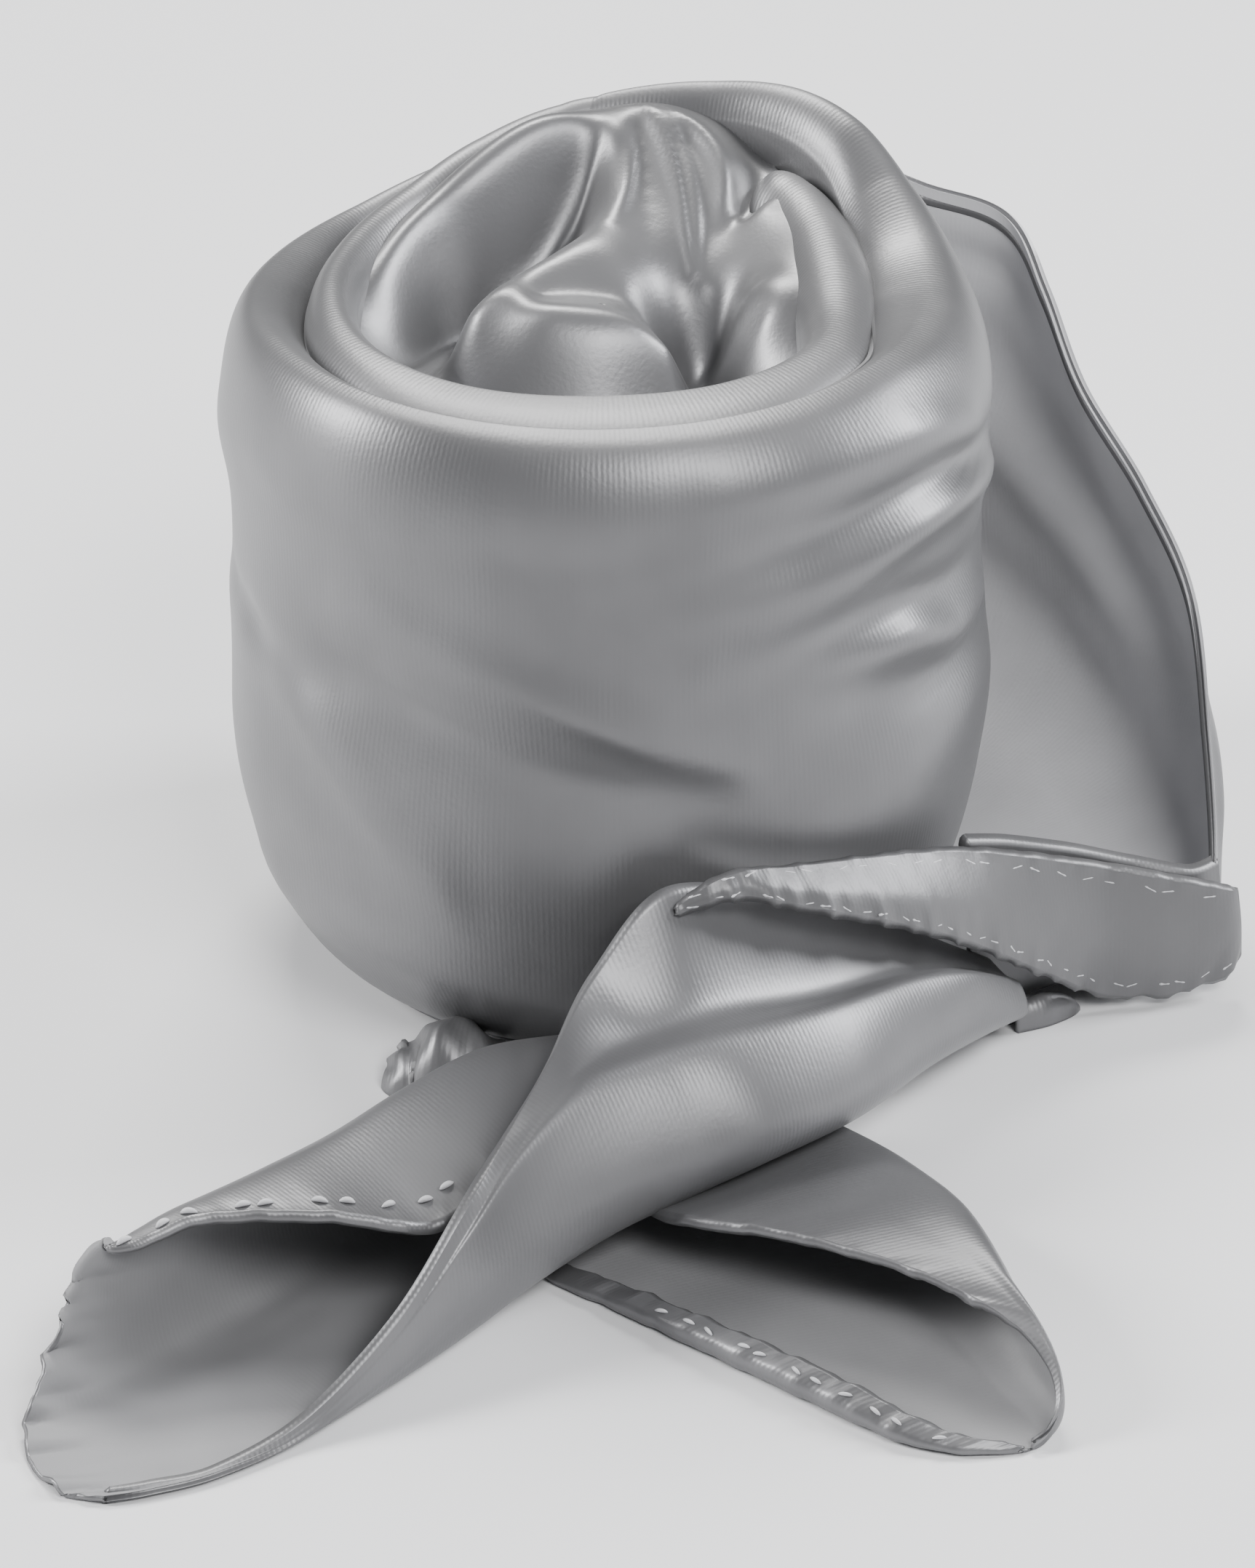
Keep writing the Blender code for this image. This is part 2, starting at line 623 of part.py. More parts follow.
def front_hem(mat):
    rows = refined(FRONT_HEM, 2)
    sections = []
    for index, row in enumerate(rows):
        outward = path_bearing(rows, index) + 90
        top = (0.0, row["rise"])
        middle = (row["lean"], row["rise"] * 0.5)
        low = (row["lean"] * 0.6, 1.6)
        toe = (-row["toe"], 1.2)
        line = line_through([top, middle, low, toe], 3)
        inside = offset_line(line, hem_thickness(len(line), end=False))
        x, y = row["x"], row["y"]
        sections.append((across_place(x, y, outward, line), across_place(x, y, outward, inside)))
    return cloth_wall("front_hem", sections, mat)


def hem_flap(mat):
    rows = refined(HEM_FLAP, 2)
    sections = []
    for index, row in enumerate(rows):
        outward = path_bearing(rows, index) - 90
        top = (0.0, row["rise"])
        middle = (row["kick"] * 0.7, row["rise"] - row["drop"] * 0.5)
        low = (row["kick"], row["rise"] - row["drop"])
        line = line_through([top, middle, low], 3)
        inside = offset_line(line, hem_thickness(len(line), rows=1))
        x, y = row["x"], row["y"]
        sections.append((across_place(x, y, outward, line), across_place(x, y, outward, inside)))
    return cloth_wall("hem_flap", sections, mat)


def front_tail(mat):
    sections = []
    for row in refined(FRONT_TAIL, 2):
        width, lift = row["width"], row["lift"]
        wide = width - row["edge_u"]
        mid_u = (row["hem_u"] + row["crest_u"]) / 2
        mid_z = (row["hem_z"] + row["crest_z"]) / 2 - row["sag"]
        controls = [
            (row["hem_u"], row["hem_z"]),
            (mid_u, mid_z),
            (row["crest_u"], row["crest_z"]),
            (-0.4, lift + 0.45 * (row["crest_z"] - lift)),
            (1.4, lift),
            (width * 0.5, lift),
            (width - 2.2, lift + 0.2),
            (width, lift + 0.5 * (row["far_z"] - lift)),
            (width - 0.25 * wide, row["far_z"]),
            (row["edge_u"], row["edge_z"]),
        ]
        line = [(u, max(z, FLOOR)) for u, z in line_through(controls, 2)]
        inside = offset_line(line, [-t for t in hem_thickness(len(line), rows=1)])
        place = (row["x"], row["y"], row["across"])
        sections.append((across_place(*place, line), across_place(*place, inside)))
    return cloth_wall("front_tail", sections, mat)


def rear_tail(mat):
    sections = []
    for row in refined(REAR_TAIL, 2):
        dx = row["right_x"] - row["left_x"]
        dy = row["right_y"] - row["left_y"]
        width = math.hypot(dx, dy)
        bearing = math.degrees(math.atan2(dy, dx))
        flap = row["flap"]
        rise = row["rise"]
        controls = [
            (-0.2, row["strip"]),
            (1.2, FLOOR),
            (width * 0.4, FLOOR),
            (width * 0.8, FLOOR),
            (width - 0.4, rise * 0.22),
            (width, rise * 0.6),
            (width - 0.2 * min(flap, 5.0), rise),
            (width - 0.5 * flap, rise + 0.1),
            (width - flap, rise - 0.3),
        ]
        line = [(u, max(z, FLOOR)) for u, z in line_through(controls, 2)]
        inside = offset_line(line, [-t for t in hem_thickness(len(line), rows=1)])
        place = (row["left_x"], row["left_y"], bearing)
        sections.append((across_place(*place, line), across_place(*place, inside)))
    return cloth_wall("rear_tail", sections, mat)


def tuck(name, table, mat):
    """A small flattened fold, its section an arch of cloth on the floor, filled where it is too narrow to be hollow."""
    rows = refined(table, 2)
    sections = []
    for index, row in enumerate(rows):
        bearing = path_bearing(rows, index) + 90
        line = []
        for k in range(9):
            angle = math.pi * k / 8
            line.append((row["half"] * math.cos(angle), FLOOR + row["rise"] * math.sin(angle) ** 0.8))
        inside = offset_line(line, -CLOTH)
        if row["half"] < 2 * CLOTH:
            inside = [(u * 0.85, FLOOR) for u, z in line]
        inside = [(u, max(z, FLOOR)) for u, z in inside]
        place = (row["x"], row["y"], bearing)
        sections.append((across_place(*place, line), across_place(*place, inside)))
    return cloth_wall(name, sections, mat)


for old in list(bpy.data.objects):
    bpy.data.objects.remove(old)

core_folds(material("core_satin", 0.30, 0.38))
turn("outer_turn", outer_turn_line, OUTER_TURN, material("outer_satin", 0.32, 0.36))
turn("inner_turn", inner_turn_line, INNER_TURN, material("inner_satin", 0.33, 0.36))
side_sweep(material("sweep_satin", 0.32, 0.36))
front_hem(material("hem_satin", 0.31, 0.42))
hem_flap(material("flap_satin", 0.34, 0.42))
front_tail(material("front_tail_satin", 0.31, 0.36))
rear_tail(material("rear_tail_satin", 0.30, 0.38))
tuck("left_tuck", LEFT_TUCK, material("tuck_satin", 0.31, 0.38))
tuck("right_tuck", RIGHT_TUCK, material("under_satin", 0.24, 0.42))
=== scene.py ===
"""Looks of a satin neck scarf rolled into a standing rose bud.

Lengths are in millimetres and scaled to metres when the meshes are made.
The bud's axis is x = y = 0, the floor is z = 0 and -Y faces the viewer.
"""
import math

import bpy
import numpy as np
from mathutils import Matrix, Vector

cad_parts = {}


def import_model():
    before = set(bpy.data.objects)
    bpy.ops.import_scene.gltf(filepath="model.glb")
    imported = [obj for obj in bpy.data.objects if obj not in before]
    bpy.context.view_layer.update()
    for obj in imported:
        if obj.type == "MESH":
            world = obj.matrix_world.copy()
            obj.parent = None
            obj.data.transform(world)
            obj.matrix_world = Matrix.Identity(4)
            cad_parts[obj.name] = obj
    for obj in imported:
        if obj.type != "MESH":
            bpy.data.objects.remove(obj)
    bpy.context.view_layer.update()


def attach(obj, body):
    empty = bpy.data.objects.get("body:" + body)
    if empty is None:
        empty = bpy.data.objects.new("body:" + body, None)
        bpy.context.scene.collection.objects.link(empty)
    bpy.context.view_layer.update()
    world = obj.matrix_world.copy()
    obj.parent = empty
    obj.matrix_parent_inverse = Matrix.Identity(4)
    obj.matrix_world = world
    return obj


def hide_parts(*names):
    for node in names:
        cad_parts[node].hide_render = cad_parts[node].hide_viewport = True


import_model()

MM = 0.001
THIN = 0.45            # the satin shell's thickness
HEM_EXTRA = 1.3 - THIN  # how much thicker a rolled hem is
SHOULDER = 8.0         # height of the outer turn's rounded shoulder
FLOOR = 0.05           # height of cloth that lies on the floor
LOWEST = 0.2 * FLOOR   # no point goes below this height
FOLD_DEPTH = 1.6       # how strongly the wall's folds stand out
FOLD_FADE = 9          # degrees over which a fold ends
PLEAT_DEPTH = 0.7      # how strongly the crown's pleats stand out
CROWN_SLACK = 0.35     # how loosely the crown follows its named lines
WEAVE_SCALE = 0.01     # texture units for each millimetre of cloth

# Column names
FOLD = "bearing z height up down"
PLEAT = "x y height spread"
LINE = "x y z"


# Tables

def table(columns, *rows):
    """Named columns of numbers, a row for each section."""
    return dict(zip(columns.split(), np.array(rows, float).T))


OUTER_TURN = table(
    "bearing radius width rise depth crest fall",
    (-246, 23.6, 3.6, 57.2, 8.0, 0.50, 3.0),
    (-258, 25.2, 3.8, 59.6, 8.0, 0.50, 3.0),
    (-270, 26.8, 4.0, 61.6, 9.0, 0.50, 3.0),
    (-290, 28.2, 4.4, 62.8, 10.0, 0.48, 3.4),
    (-305, 28.9, 5.2, 63.4, 11.0, 0.46, 4.0),
    (-318, 29.4, 6.4, 62.4, 11.0, 0.46, 4.2),
    (-330, 29.7, 8.0, 59.8, 10.5, 0.46, 3.6),
    (-345, 29.9, 9.4, 57.6, 10.0, 0.46, 3.0),
    (-360, 30.0, 9.8, 56.8, 10.0, 0.48, 2.2),
    (-375, 30.1, 9.0, 56.8, 10.0, 0.56, 2.0),
    (-390, 30.0, 7.0, 57.0, 10.0, 0.70, 1.8),
    (-420, 29.9, 6.0, 57.0, 10.0, 0.82, 1.5),
    (-450, 29.8, 5.8, 56.8, 10.0, 0.86, 1.3),
    (-490, 29.6, 5.0, 57.0, 10.0, 0.74, 1.8),
    (-520, 29.4, 6.0, 56.6, 10.0, 0.50, 3.0),
    (-545, 29.5, 7.4, 55.4, 10.0, 0.38, 3.0),
    (-565, 29.7, 7.0, 54.6, 9.0, 0.40, 2.4),
    (-585, 29.9, 4.8, 54.2, 8.0, 0.46, 3.4),
    (-600, 30.0, 4.0, 55.2, 7.0, 0.50, 3.0),
    (-614, 29.8, 3.6, 56.8, 6.0, 0.50, 2.8),
    (-627, 29.2, 3.4, 57.8, 5.0, 0.50, 2.4),
)

WALL = table(
    "height inset",
    (0.6, 9.0), (2.2, 6.2), (5.0, 3.6), (9.5, 1.6), (15.0, 0.3), (20.0, -0.2),
    (25.0, -0.1), (30.0, 0.1), (34.0, 0.3), (38.0, 0.4), (42.0, 0.4), (45.5, 0.3),
)

INNER_TURN = table(
    "bearing radius width rise depth crest fall shoulder",
    (57, 22.8, 2.4, 54.2, 6.0, 0.50, 3.0, 4.0),
    (54.5, 23.6, 4.6, 57.0, 7.0, 0.50, 3.6, 4.6),
    (50, 24.0, 6.4, 58.8, 9.0, 0.50, 4.0, 5.0),
    (43, 23.8, 6.8, 58.9, 10.0, 0.50, 4.0, 4.6),
    (30, 22.6, 6.8, 58.4, 10.5, 0.50, 4.0, 3.6),
    (15, 21.4, 6.6, 57.8, 10.5, 0.50, 4.0, 3.0),
    (0, 21.0, 6.4, 57.2, 10.0, 0.50, 4.0, 2.6),
    (-15, 21.6, 6.2, 56.7, 10.0, 0.52, 3.8, 2.6),
    (-30, 23.2, 6.4, 56.5, 10.0, 0.62, 3.0, 2.6),
    (-60, 24.0, 6.6, 56.3, 10.0, 0.80, 2.0, 2.4),
    (-90, 24.1, 6.6, 56.3, 10.0, 0.86, 1.6, 2.2),
    (-125, 24.8, 6.0, 56.5, 10.0, 0.80, 2.0, 2.4),
    (-150, 24.3, 5.2, 57.0, 10.0, 0.62, 3.0, 3.2),
    (-175, 22.9, 4.2, 57.4, 10.0, 0.50, 3.6, 4.0),
    (-200, 22.6, 4.2, 57.4, 10.0, 0.50, 3.6, 4.0),
    (-225, 23.4, 4.4, 57.9, 10.0, 0.50, 3.2, 3.8),
    (-245, 24.8, 4.4, 59.6, 10.0, 0.50, 3.0, 4.0),
    (-262, 26.2, 4.2, 61.0, 9.0, 0.50, 3.0, 5.0),
    (-270, 26.8, 4.0, 61.4, 9.0, 0.50, 3.0, 5.0),
    (-280, 27.2, 4.0, 61.6, 9.0, 0.50, 3.0, 5.0),
    (-288, 27.4, 4.0, 61.4, 9.0, 0.50, 3.0, 5.0),
)

# The crown's edge, tucked behind the turns' inner sides
CROWN_EDGE = table(
    "bearing radius z",
    (-18, 17.4, 51.6), (0, 17.2, 54.8), (15, 17.9, 57.1), (30, 19.0, 58.0), (43, 20.8, 58.4),
    (52, 22.6, 58.0), (58, 24.8, 57.6), (66, 25.4, 59.6), (78, 25.2, 60.8), (90, 24.6, 60.4),
    (102, 23.8, 59.6), (115, 22.8, 58.2), (132, 21.4, 56.4), (150, 20.4, 55.4), (168, 20.0, 54.8),
    (185, 20.0, 53.6), (200, 20.0, 51.8), (220, 19.8, 50.6), (245, 19.0, 50.0), (270, 18.6, 49.8),
    (300, 18.2, 49.8), (325, 17.8, 50.4), (342, 17.4, 51.6),
)

# Folds of the outer turn's wall: a ridge's course, its height and its spread above and below
WALL_FOLDS = [
    table(FOLD,
         (-372, 49.0, 0.0, 2, 2), (-396, 53, 0.6, 2.0, 2.4), (-410, 53.6, 0.5, 2.2, 2.4),
         (-440, 53.0, 0.1, 3, 3)),
    table(FOLD,
         (-355, 45.0, 0.5, 2.4, 2.2), (-375, 46.6, -0.6, 1.6, 1.8), (-393, 48.6, -0.75, 1.8, 1.6),
         (-418, 48.3, -0.6, 2.6, 2.2), (-450, 47.2, -0.2, 5, 4), (-470, 47, 0, 6, 5)),
    table(FOLD,
         (-360, 43.0, 0.4, 2.4, 2.2), (-383, 45.4, 0.9, 1.8, 2.2), (-399, 46.0, 1.0, 1.8, 2.4),
         (-412, 44.6, 0.75, 2.4, 3.0), (-440, 42.0, 0.25, 4, 5), (-460, 41, 0.0, 5, 6)),
    table(FOLD,
         (-362, 37.0, -0.2, 2, 2), (-385, 37.8, -0.6, 1.6, 1.6), (-400, 39.2, -0.6, 1.8, 1.6),
         (-418, 38.9, -0.4, 2.6, 2.6), (-440, 38, 0.0, 3, 3)),
    table(FOLD,
         (-362, 33.0, 0.2, 2, 2), (-386, 33.6, 0.6, 1.8, 1.8), (-398, 35.9, 0.6, 1.6, 1.8),
         (-410, 36.9, 0.3, 1.6, 2.0), (-425, 37.2, 0.0, 2, 2)),
    table(FOLD,
         (-358, 30.0, -0.2, 3, 2), (-386, 30.6, -0.6, 2.0, 2.0), (-402, 31.8, -0.5, 2.4, 2.4),
         (-422, 33.4, -0.2, 4, 4), (-440, 34, 0.0, 4, 4)),
    table(FOLD,
         (-350, 25.0, 0.2, 4, 5), (-375, 25.6, 0.5, 4.0, 5.0), (-398, 24.8, 0.5, 3.4, 5.0),
         (-420, 24.0, 0.1, 4, 5), (-435, 24, 0.0, 4, 5)),
    table(FOLD,
         (-500, 41.5, 0.0, 3, 3), (-487, 40.5, 0.25, 3, 3), (-467, 37.9, 0.5, 3.0, 2.4),
         (-450, 34.6, 0.75, 3.4, 1.6), (-436, 31.5, 0.5, 4.0, 1.6), (-420, 30, 0.0, 4, 3)),
    table(FOLD,
         (-505, 36.0, 0.0, 2, 4), (-485, 34.0, -0.35, 2.0, 4.0), (-464, 31.0, -0.5, 2.0, 5.0),
         (-444, 28.5, -0.4, 2.0, 5.0), (-425, 27, 0.0, 2, 4)),
    table(FOLD,
         (-525, 35.0, 0.0, 3, 3), (-504, 31.0, 0.35, 3.5, 3.0), (-492, 27.0, 0.45, 4.0, 3.0),
         (-478, 20.9, 0.4, 5.0, 3.0), (-465, 17, 0.0, 5, 3)),
    table(FOLD,
         (-530, 11.0, 0.0, 3, 3), (-512, 11.0, 0.4, 3.0, 3.0), (-485, 11.0, 0.5, 3.0, 3.0),
         (-462, 9.6, 0.3, 3.0, 3.0), (-445, 9, 0.0, 3, 3)),
    table(FOLD,
         (-540, 33.0, 0.0, 2, 2), (-522, 32.6, -0.5, 2.0, 1.8), (-508, 33.0, -0.4, 2.4, 2.0),
         (-484, 34.5, 0.0, 3, 3)),
    table(FOLD,
         (-600, 40.0, 0.0, 3, 3), (-575, 41.0, 0.6, 3.4, 3.0), (-545, 44.0, 0.5, 3.4, 3.4),
         (-515, 47.0, 0.0, 3, 3)),
    table(FOLD,
         (-620, 20.0, 0.0, 4, 3), (-590, 24.0, 0.7, 4.0, 3.0), (-560, 29.0, 0.6, 4.0, 3.4),
         (-530, 31.0, 0.0, 3, 3)),
    table(FOLD,
         (-615, 36.0, 0.0, 3, 3), (-590, 33.0, -0.6, 3.0, 2.4), (-560, 37.0, -0.5, 3.0, 3.0),
         (-535, 38.0, 0.0, 3, 3)),
    table(FOLD,
         (-320, 40.0, 0.0, 3, 3), (-335, 42.0, 0.6, 3.0, 2.6), (-350, 44.5, 0.6, 2.6, 2.4),
         (-362, 45.0, 0.0, 3, 3)),
    table(FOLD,
         (-300, 22.0, 0.0, 4, 3), (-325, 26.0, 0.5, 4.0, 3.0), (-345, 29.0, 0.5, 3.0, 3.0),
         (-365, 31.0, 0.0, 3, 3)),
]

# Soft folds of the sweep, drawn out from the bud's back to the front corner
SWEEP_FOLDS = [
    table(FOLD,
         (-16, 10, 0.0, 3, 3), (-2, 14, 0.5, 3.4, 3.0), (14, 24, 0.8, 4.0, 3.4),
         (32, 36, 0.6, 4.0, 4.0), (56, 45, 0.0, 4, 4)),
    table(FOLD,
         (-6, 4, 0.0, 3, 3), (8, 8, 0.5, 3.0, 2.6), (28, 16, 0.8, 4.0, 3.4), (52, 24, 0.6, 4.0, 4.0),
         (80, 30, 0.0, 5, 5)),
    table(FOLD,
         (6, 15, 0.0, 2, 2), (22, 25, -0.6, 3.0, 3.0), (44, 34, -0.6, 3.4, 3.0), (72, 38, 0.0, 4, 4)),
    table(FOLD,
         (18, 40, 0.0, 3, 3), (30, 44, 0.7, 2.6, 3.0), (42, 47, 0.5, 3.0, 3.0), (60, 50, 0.0, 3, 3)),
    table(FOLD,
         (40, 12, 0.0, 3, 3), (62, 15, 0.6, 3.4, 3.0), (86, 22, 0.6, 4.0, 3.0), (108, 27, 0.0, 4, 4)),
    table(FOLD,
         (58, 46, 0.0, 3, 3), (74, 44, 0.5, 3.4, 3.0), (90, 40, 0.6, 3.4, 3.4), (110, 34, 0.0, 4, 4)),
]

SIDE_SWEEP = table(
    "bearing top_r top_z mid_r mid_z low_r low_z toe_r toe_z lip",
    (114, 28.8, 54.8, 28.9, 42, 28.7, 14, 21.0, 0.6, 2.6),
    (104, 29.9, 56.8, 30.0, 42, 29.9, 14, 22.6, 0.6, 3.0),
    (93, 30.8, 57.9, 31.2, 42, 30.9, 15, 25.0, 0.6, 3.2),
    (82, 31.2, 58.7, 31.7, 42, 31.5, 17, 27.2, 0.7, 3.4),
    (71, 31.8, 59.4, 32.4, 42, 32.2, 19, 28.2, 0.8, 3.0),
    (58, 34.8, 54.6, 34.2, 38, 33.2, 17, 28.0, 0.8, 1.3),
    (48, 38.8, 51.2, 37.8, 36, 35.4, 15, 27.8, 0.8, 0.7),
    (38, 41.6, 49.8, 40.2, 34, 37.4, 14, 27.8, 0.8, 0.6),
    (28, 40.6, 46.2, 41.8, 32, 39.8, 12, 27.8, 0.8, 0.6),
    (19, 40.8, 40.8, 43.4, 28, 42.0, 10, 27.8, 0.8, 0.6),
    (10, 44.0, 34.6, 46.0, 23, 44.6, 7, 28.0, 0.8, 0.6),
    (2, 47.0, 28.0, 48.2, 18, 46.8, 5, 30.0, 0.8, 0.6),
    (-4, 48.4, 18.5, 49.2, 12, 48.4, 3, 34.5, 0.8, 0.6),
    (-10.4, 49.6, 10.2, 50.1, 6.6, 49.2, 1.6, 38.5, 0.8, 0.6),
)

FRONT_HEM = table(
    "x y rise lean toe",
    (49.0, -8.9, 9.9, 0.6, 0.8),
    (46.4, -10.9, 10.2, 0.8, 1.8),
    (41.5, -11.6, 11.6, 0.8, 3.6),
    (36.5, -13.0, 13.6, 0.6, 4.4),
    (31.8, -15.8, 16.0, 0.6, 3.5),
    (28.4, -18.0, 17.4, 0.6, 2.4),
)

HEM_FLAP = table(
    "x y rise drop kick",
    (5.6, -35.0, 22.4, 0.5, 0.3),
    (9.6, -33.4, 24.2, 1.3, 1.0),
    (15.4, -29.8, 22.8, 2.6, 2.6),
    (21.8, -25.2, 20.8, 4.6, 3.4),
    (27.6, -21.0, 18.6, 7.0, 3.2),
    (33.2, -17.4, 15.8, 9.2, 2.4),
    (38.8, -14.4, 13.0, 10.8, 1.6),
    (44.6, -13.4, 11.2, 9.8, 1.4),
    (49.0, -12.2, 9.6, 7.4, 1.2),
    (50.4, -11.2, 8.8, 5.4, 0.8),
)

FRONT_TAIL = table(
    "x y across width lift hem_u hem_z sag crest_u crest_z far_z edge_u edge_z round",
    (-34.2, -76.9, 122, 14.8, 0.2, 0.0, 0.8, 0.0, -0.1, 0.5, 9.4, 14.2, 10.2, 1.0),
    (-31.4, -76.3, 125, 15.2, 0.2, 0.0, 0.9, 0.0, -0.2, 0.6, 9.9, 14.0, 10.8, 0.72),
    (-26.8, -74.4, 129, 16.0, 0.2, 0.0, 0.8, 0.0, -0.2, 0.6, 10.4, 13.6, 11.4, 0.42),
    (-20.9, -70.3, 131, 16.8, 0.2, 0.0, 1.8, 0.0, -0.3, 1.2, 11.2, 12.8, 12.2, 0.18),
    (-14.6, -64.8, 131, 17.4, 0.2, 0.0, 6.0, 0.0, -0.3, 4.6, 11.9, 7.0, 12.0, 0.05),
    (-9.4, -60.0, 131, 17.6, 0.6, 1.0, 11.2, 0.0, 0.0, 9.4, 12.2, 3.4, 9.8, 0.0),
    (-4.2, -55.4, 131, 18.0, 2.0, 4.0, 13.8, -0.3, 1.6, 12.6, 12.6, 4.4, 11.0, 0.0),
    (1.6, -51.4, 131, 18.2, 3.6, 8.2, 15.6, -0.3, 3.2, 14.8, 13.2, 5.4, 12.0, 0.0),
    (7.0, -48.4, 129, 17.0, 4.6, 12.0, 18.8, 1.4, 3.8, 15.4, 12.6, 6.4, 12.0, 0.0),
    (12.6, -45.4, 125, 15.4, 5.6, 13.6, 23.0, 3.2, 3.8, 15.4, 12.0, 6.6, 12.0, 0.0),
    (19.6, -39.4, 124, 12.4, 5.4, 12.0, 20.0, 3.4, 3.2, 14.4, 11.2, 6.0, 11.2, 0.0),
    (25.6, -31.0, 128, 9.0, 4.4, 8.2, 15.8, 2.0, 2.0, 12.0, 9.8, 4.2, 9.2, 0.0),
    (29.4, -25.6, 132, 7.0, 3.2, 5.6, 11.0, 0.8, 1.0, 9.6, 8.2, 3.0, 7.6, 0.0),
    (33.0, -20.4, 134, 5.0, 1.8, 3.8, 6.6, 0.3, 0.5, 5.8, 5.4, 2.4, 5.0, 0.0),
)

# A rounded mouth: how far each share of a section stands out along the tail
MOUTH = table(
    "share out",
    (0.0, 0.0), (0.155, 2.6), (0.35, 2.8), (0.54, 1.2), (0.63, -0.6), (0.78, -3.2), (0.92, -5.6),
    (1.0, -7.8),
)

REAR_TAIL = table(
    "left_x left_y right_x right_y rise flap strip",
    (-7.6, -48.0, 14.8, -32.6, 3.6, 15.0, 0.5),
    (-4.0, -51.6, 20.6, -39.8, 5.0, 19.0, 1.1),
    (0.2, -54.8, 23.8, -45.6, 6.6, 17.8, 1.6),
    (4.2, -58.0, 27.0, -51.6, 7.6, 13.6, 2.0),
    (10.4, -63.0, 29.4, -58.0, 7.6, 7.0, 2.4),
    (16.4, -67.8, 31.2, -63.6, 6.6, 2.4, 2.4),
    (20.6, -70.8, 32.5, -66.8, 4.8, 1.0, 1.8),
    (24.4, -72.1, 32.8, -69.0, 3.0, 0.7, 1.2),
    (27.6, -72.1, 31.8, -70.6, 1.5, 0.5, 0.8),
    (29.4, -71.8, 30.6, -71.3, 0.8, 0.3, 0.5),
)

LEFT_TUCK = table(
    "x y half rise",
    (-7.4, -25.4, 3.4, 3.2),
    (-9.6, -25.8, 4.1, 5.2),
    (-12.0, -25.5, 4.0, 5.6),
    (-13.6, -24.9, 3.2, 4.4),
    (-14.8, -24.8, 3.0, 3.0),
    (-16.0, -24.8, 2.6, 2.8),
    (-17.0, -24.6, 1.4, 1.6),
)

RIGHT_TUCK = table(
    "x y half rise",
    (32.4, -17.6, 0.9, 2.0),
    (34.6, -16.4, 1.2, 2.3),
    (36.2, -15.6, 1.0, 1.9),
    (37.2, -15.1, 0.7, 1.2),
    (37.8, -14.8, 0.3, 0.4),
)

# Crown: named lines of ridge and valley, seen from above, that the cloth passes through
CROWN_LINES = {
    "stripe": table(LINE,
         (-16.6, 1.0, 51.6), (-16.9, 4.2, 54.6), (-15.0, 8.4, 55.9), (-11.7, 12.7, 56.6),
         (-8.0, 15.4, 57.9), (-5.0, 17.6, 59.5), (-2.2, 19.7, 60.8), (0.6, 21.6, 61.4)),
    "bowl_wall": table(LINE,
         (-14.6, 3.0, 50.0), (-13.0, 7.6, 50.0), (-10.0, 11.5, 50.6), (-6.8, 13.8, 52.0),
         (-4.0, 16.0, 54.0), (-1.4, 18.4, 58.0)),
    "bowl_floor": table(LINE,
         (-12.5, 0.5, 49.0), (-10.0, 5.0, 49.4), (-6.6, 9.0, 50.4), (-3.6, 12.6, 52.0)),
    "hood": table(LINE,
         (1.6, 22.6, 61.5), (1.2, 19.6, 61.0), (1.0, 17.5, 59.6), (0.7, 14.6, 58.0),
         (-0.4, 10.8, 56.9), (-3.1, 7.5, 56.2), (-5.8, 4.7, 55.7), (-8.6, 1.9, 55.0),
         (-10.3, 0.0, 54.0)),
    "veil": table(LINE,
         (2.4, 20.2, 60.5), (3.4, 15.0, 57.8), (3.3, 8.4, 55.4), (1.9, 3.1, 54.4), (-1.6, 2.3, 54.8),
         (-4.7, 1.5, 55.0)),
    "pleat": table(LINE,
         (2.6, 22.6, 61.6), (4.0, 20.8, 61.3), (5.0, 18.0, 59.9), (5.8, 14.2, 57.8), (6.3, 10.5, 55.8),
         (6.9, 7.3, 53.6)),
    "curl": table(LINE,
         (-9.6, -1.2, 54.0), (-7.2, -1.4, 54.8), (-4.3, -2.8, 54.9), (-0.5, -3.4, 54.2),
         (2.9, -2.9, 53.4), (5.0, -2.3, 52.2)),
    "curl_foot": table(LINE,
         (-12.0, -2.4, 49.0), (-10.0, -5.0, 48.4), (-5.1, -6.6, 48.4), (0.1, -7.0, 48.4),
         (5.2, -5.0, 48.4)),
    "hole": table(LINE,
         (8.2, 3.8, 47.5), (8.0, 1.0, 46.0), (9.0, -2.5, 46.5)),
    "cone": table(LINE,
         (14.4, 13.8, 58.5), (13.4, 12.8, 58.1), (12.0, 11.4, 57.3), (10.4, 9.6, 55.8),
         (8.9, 8.0, 54.4), (7.8, 6.6, 53.2)),
    "cone_side": table(LINE,
         (12.6, 12.2, 57.7), (14.2, 9.7, 57.5), (15.2, 7.4, 57.2), (16.0, 5.0, 56.7),
         (16.4, 2.4, 55.9)),
    "cone_face": table(LINE,
         (13.4, 6.8, 56.2), (11.4, 5.2, 54.4), (10.4, 2.6, 52.6), (12.4, -0.5, 53.6)),
    "shell": table(LINE,
         (4.2, 22.4, 61.6), (6.4, 21.2, 61.2), (8.6, 18.8, 60.2), (9.8, 16.0, 58.8),
         (10.0, 13.4, 57.2), (9.4, 11.2, 55.9)),
    "shell_in": table(LINE,
         (6.2, 18.8, 59.9), (7.1, 15.4, 58.2), (7.5, 12.2, 56.4), (7.5, 9.6, 55.0)),
    "shell_valley": table(LINE,
         (12.4, 17.6, 58.0), (12.0, 15.4, 57.0), (11.0, 12.8, 56.0)),
}

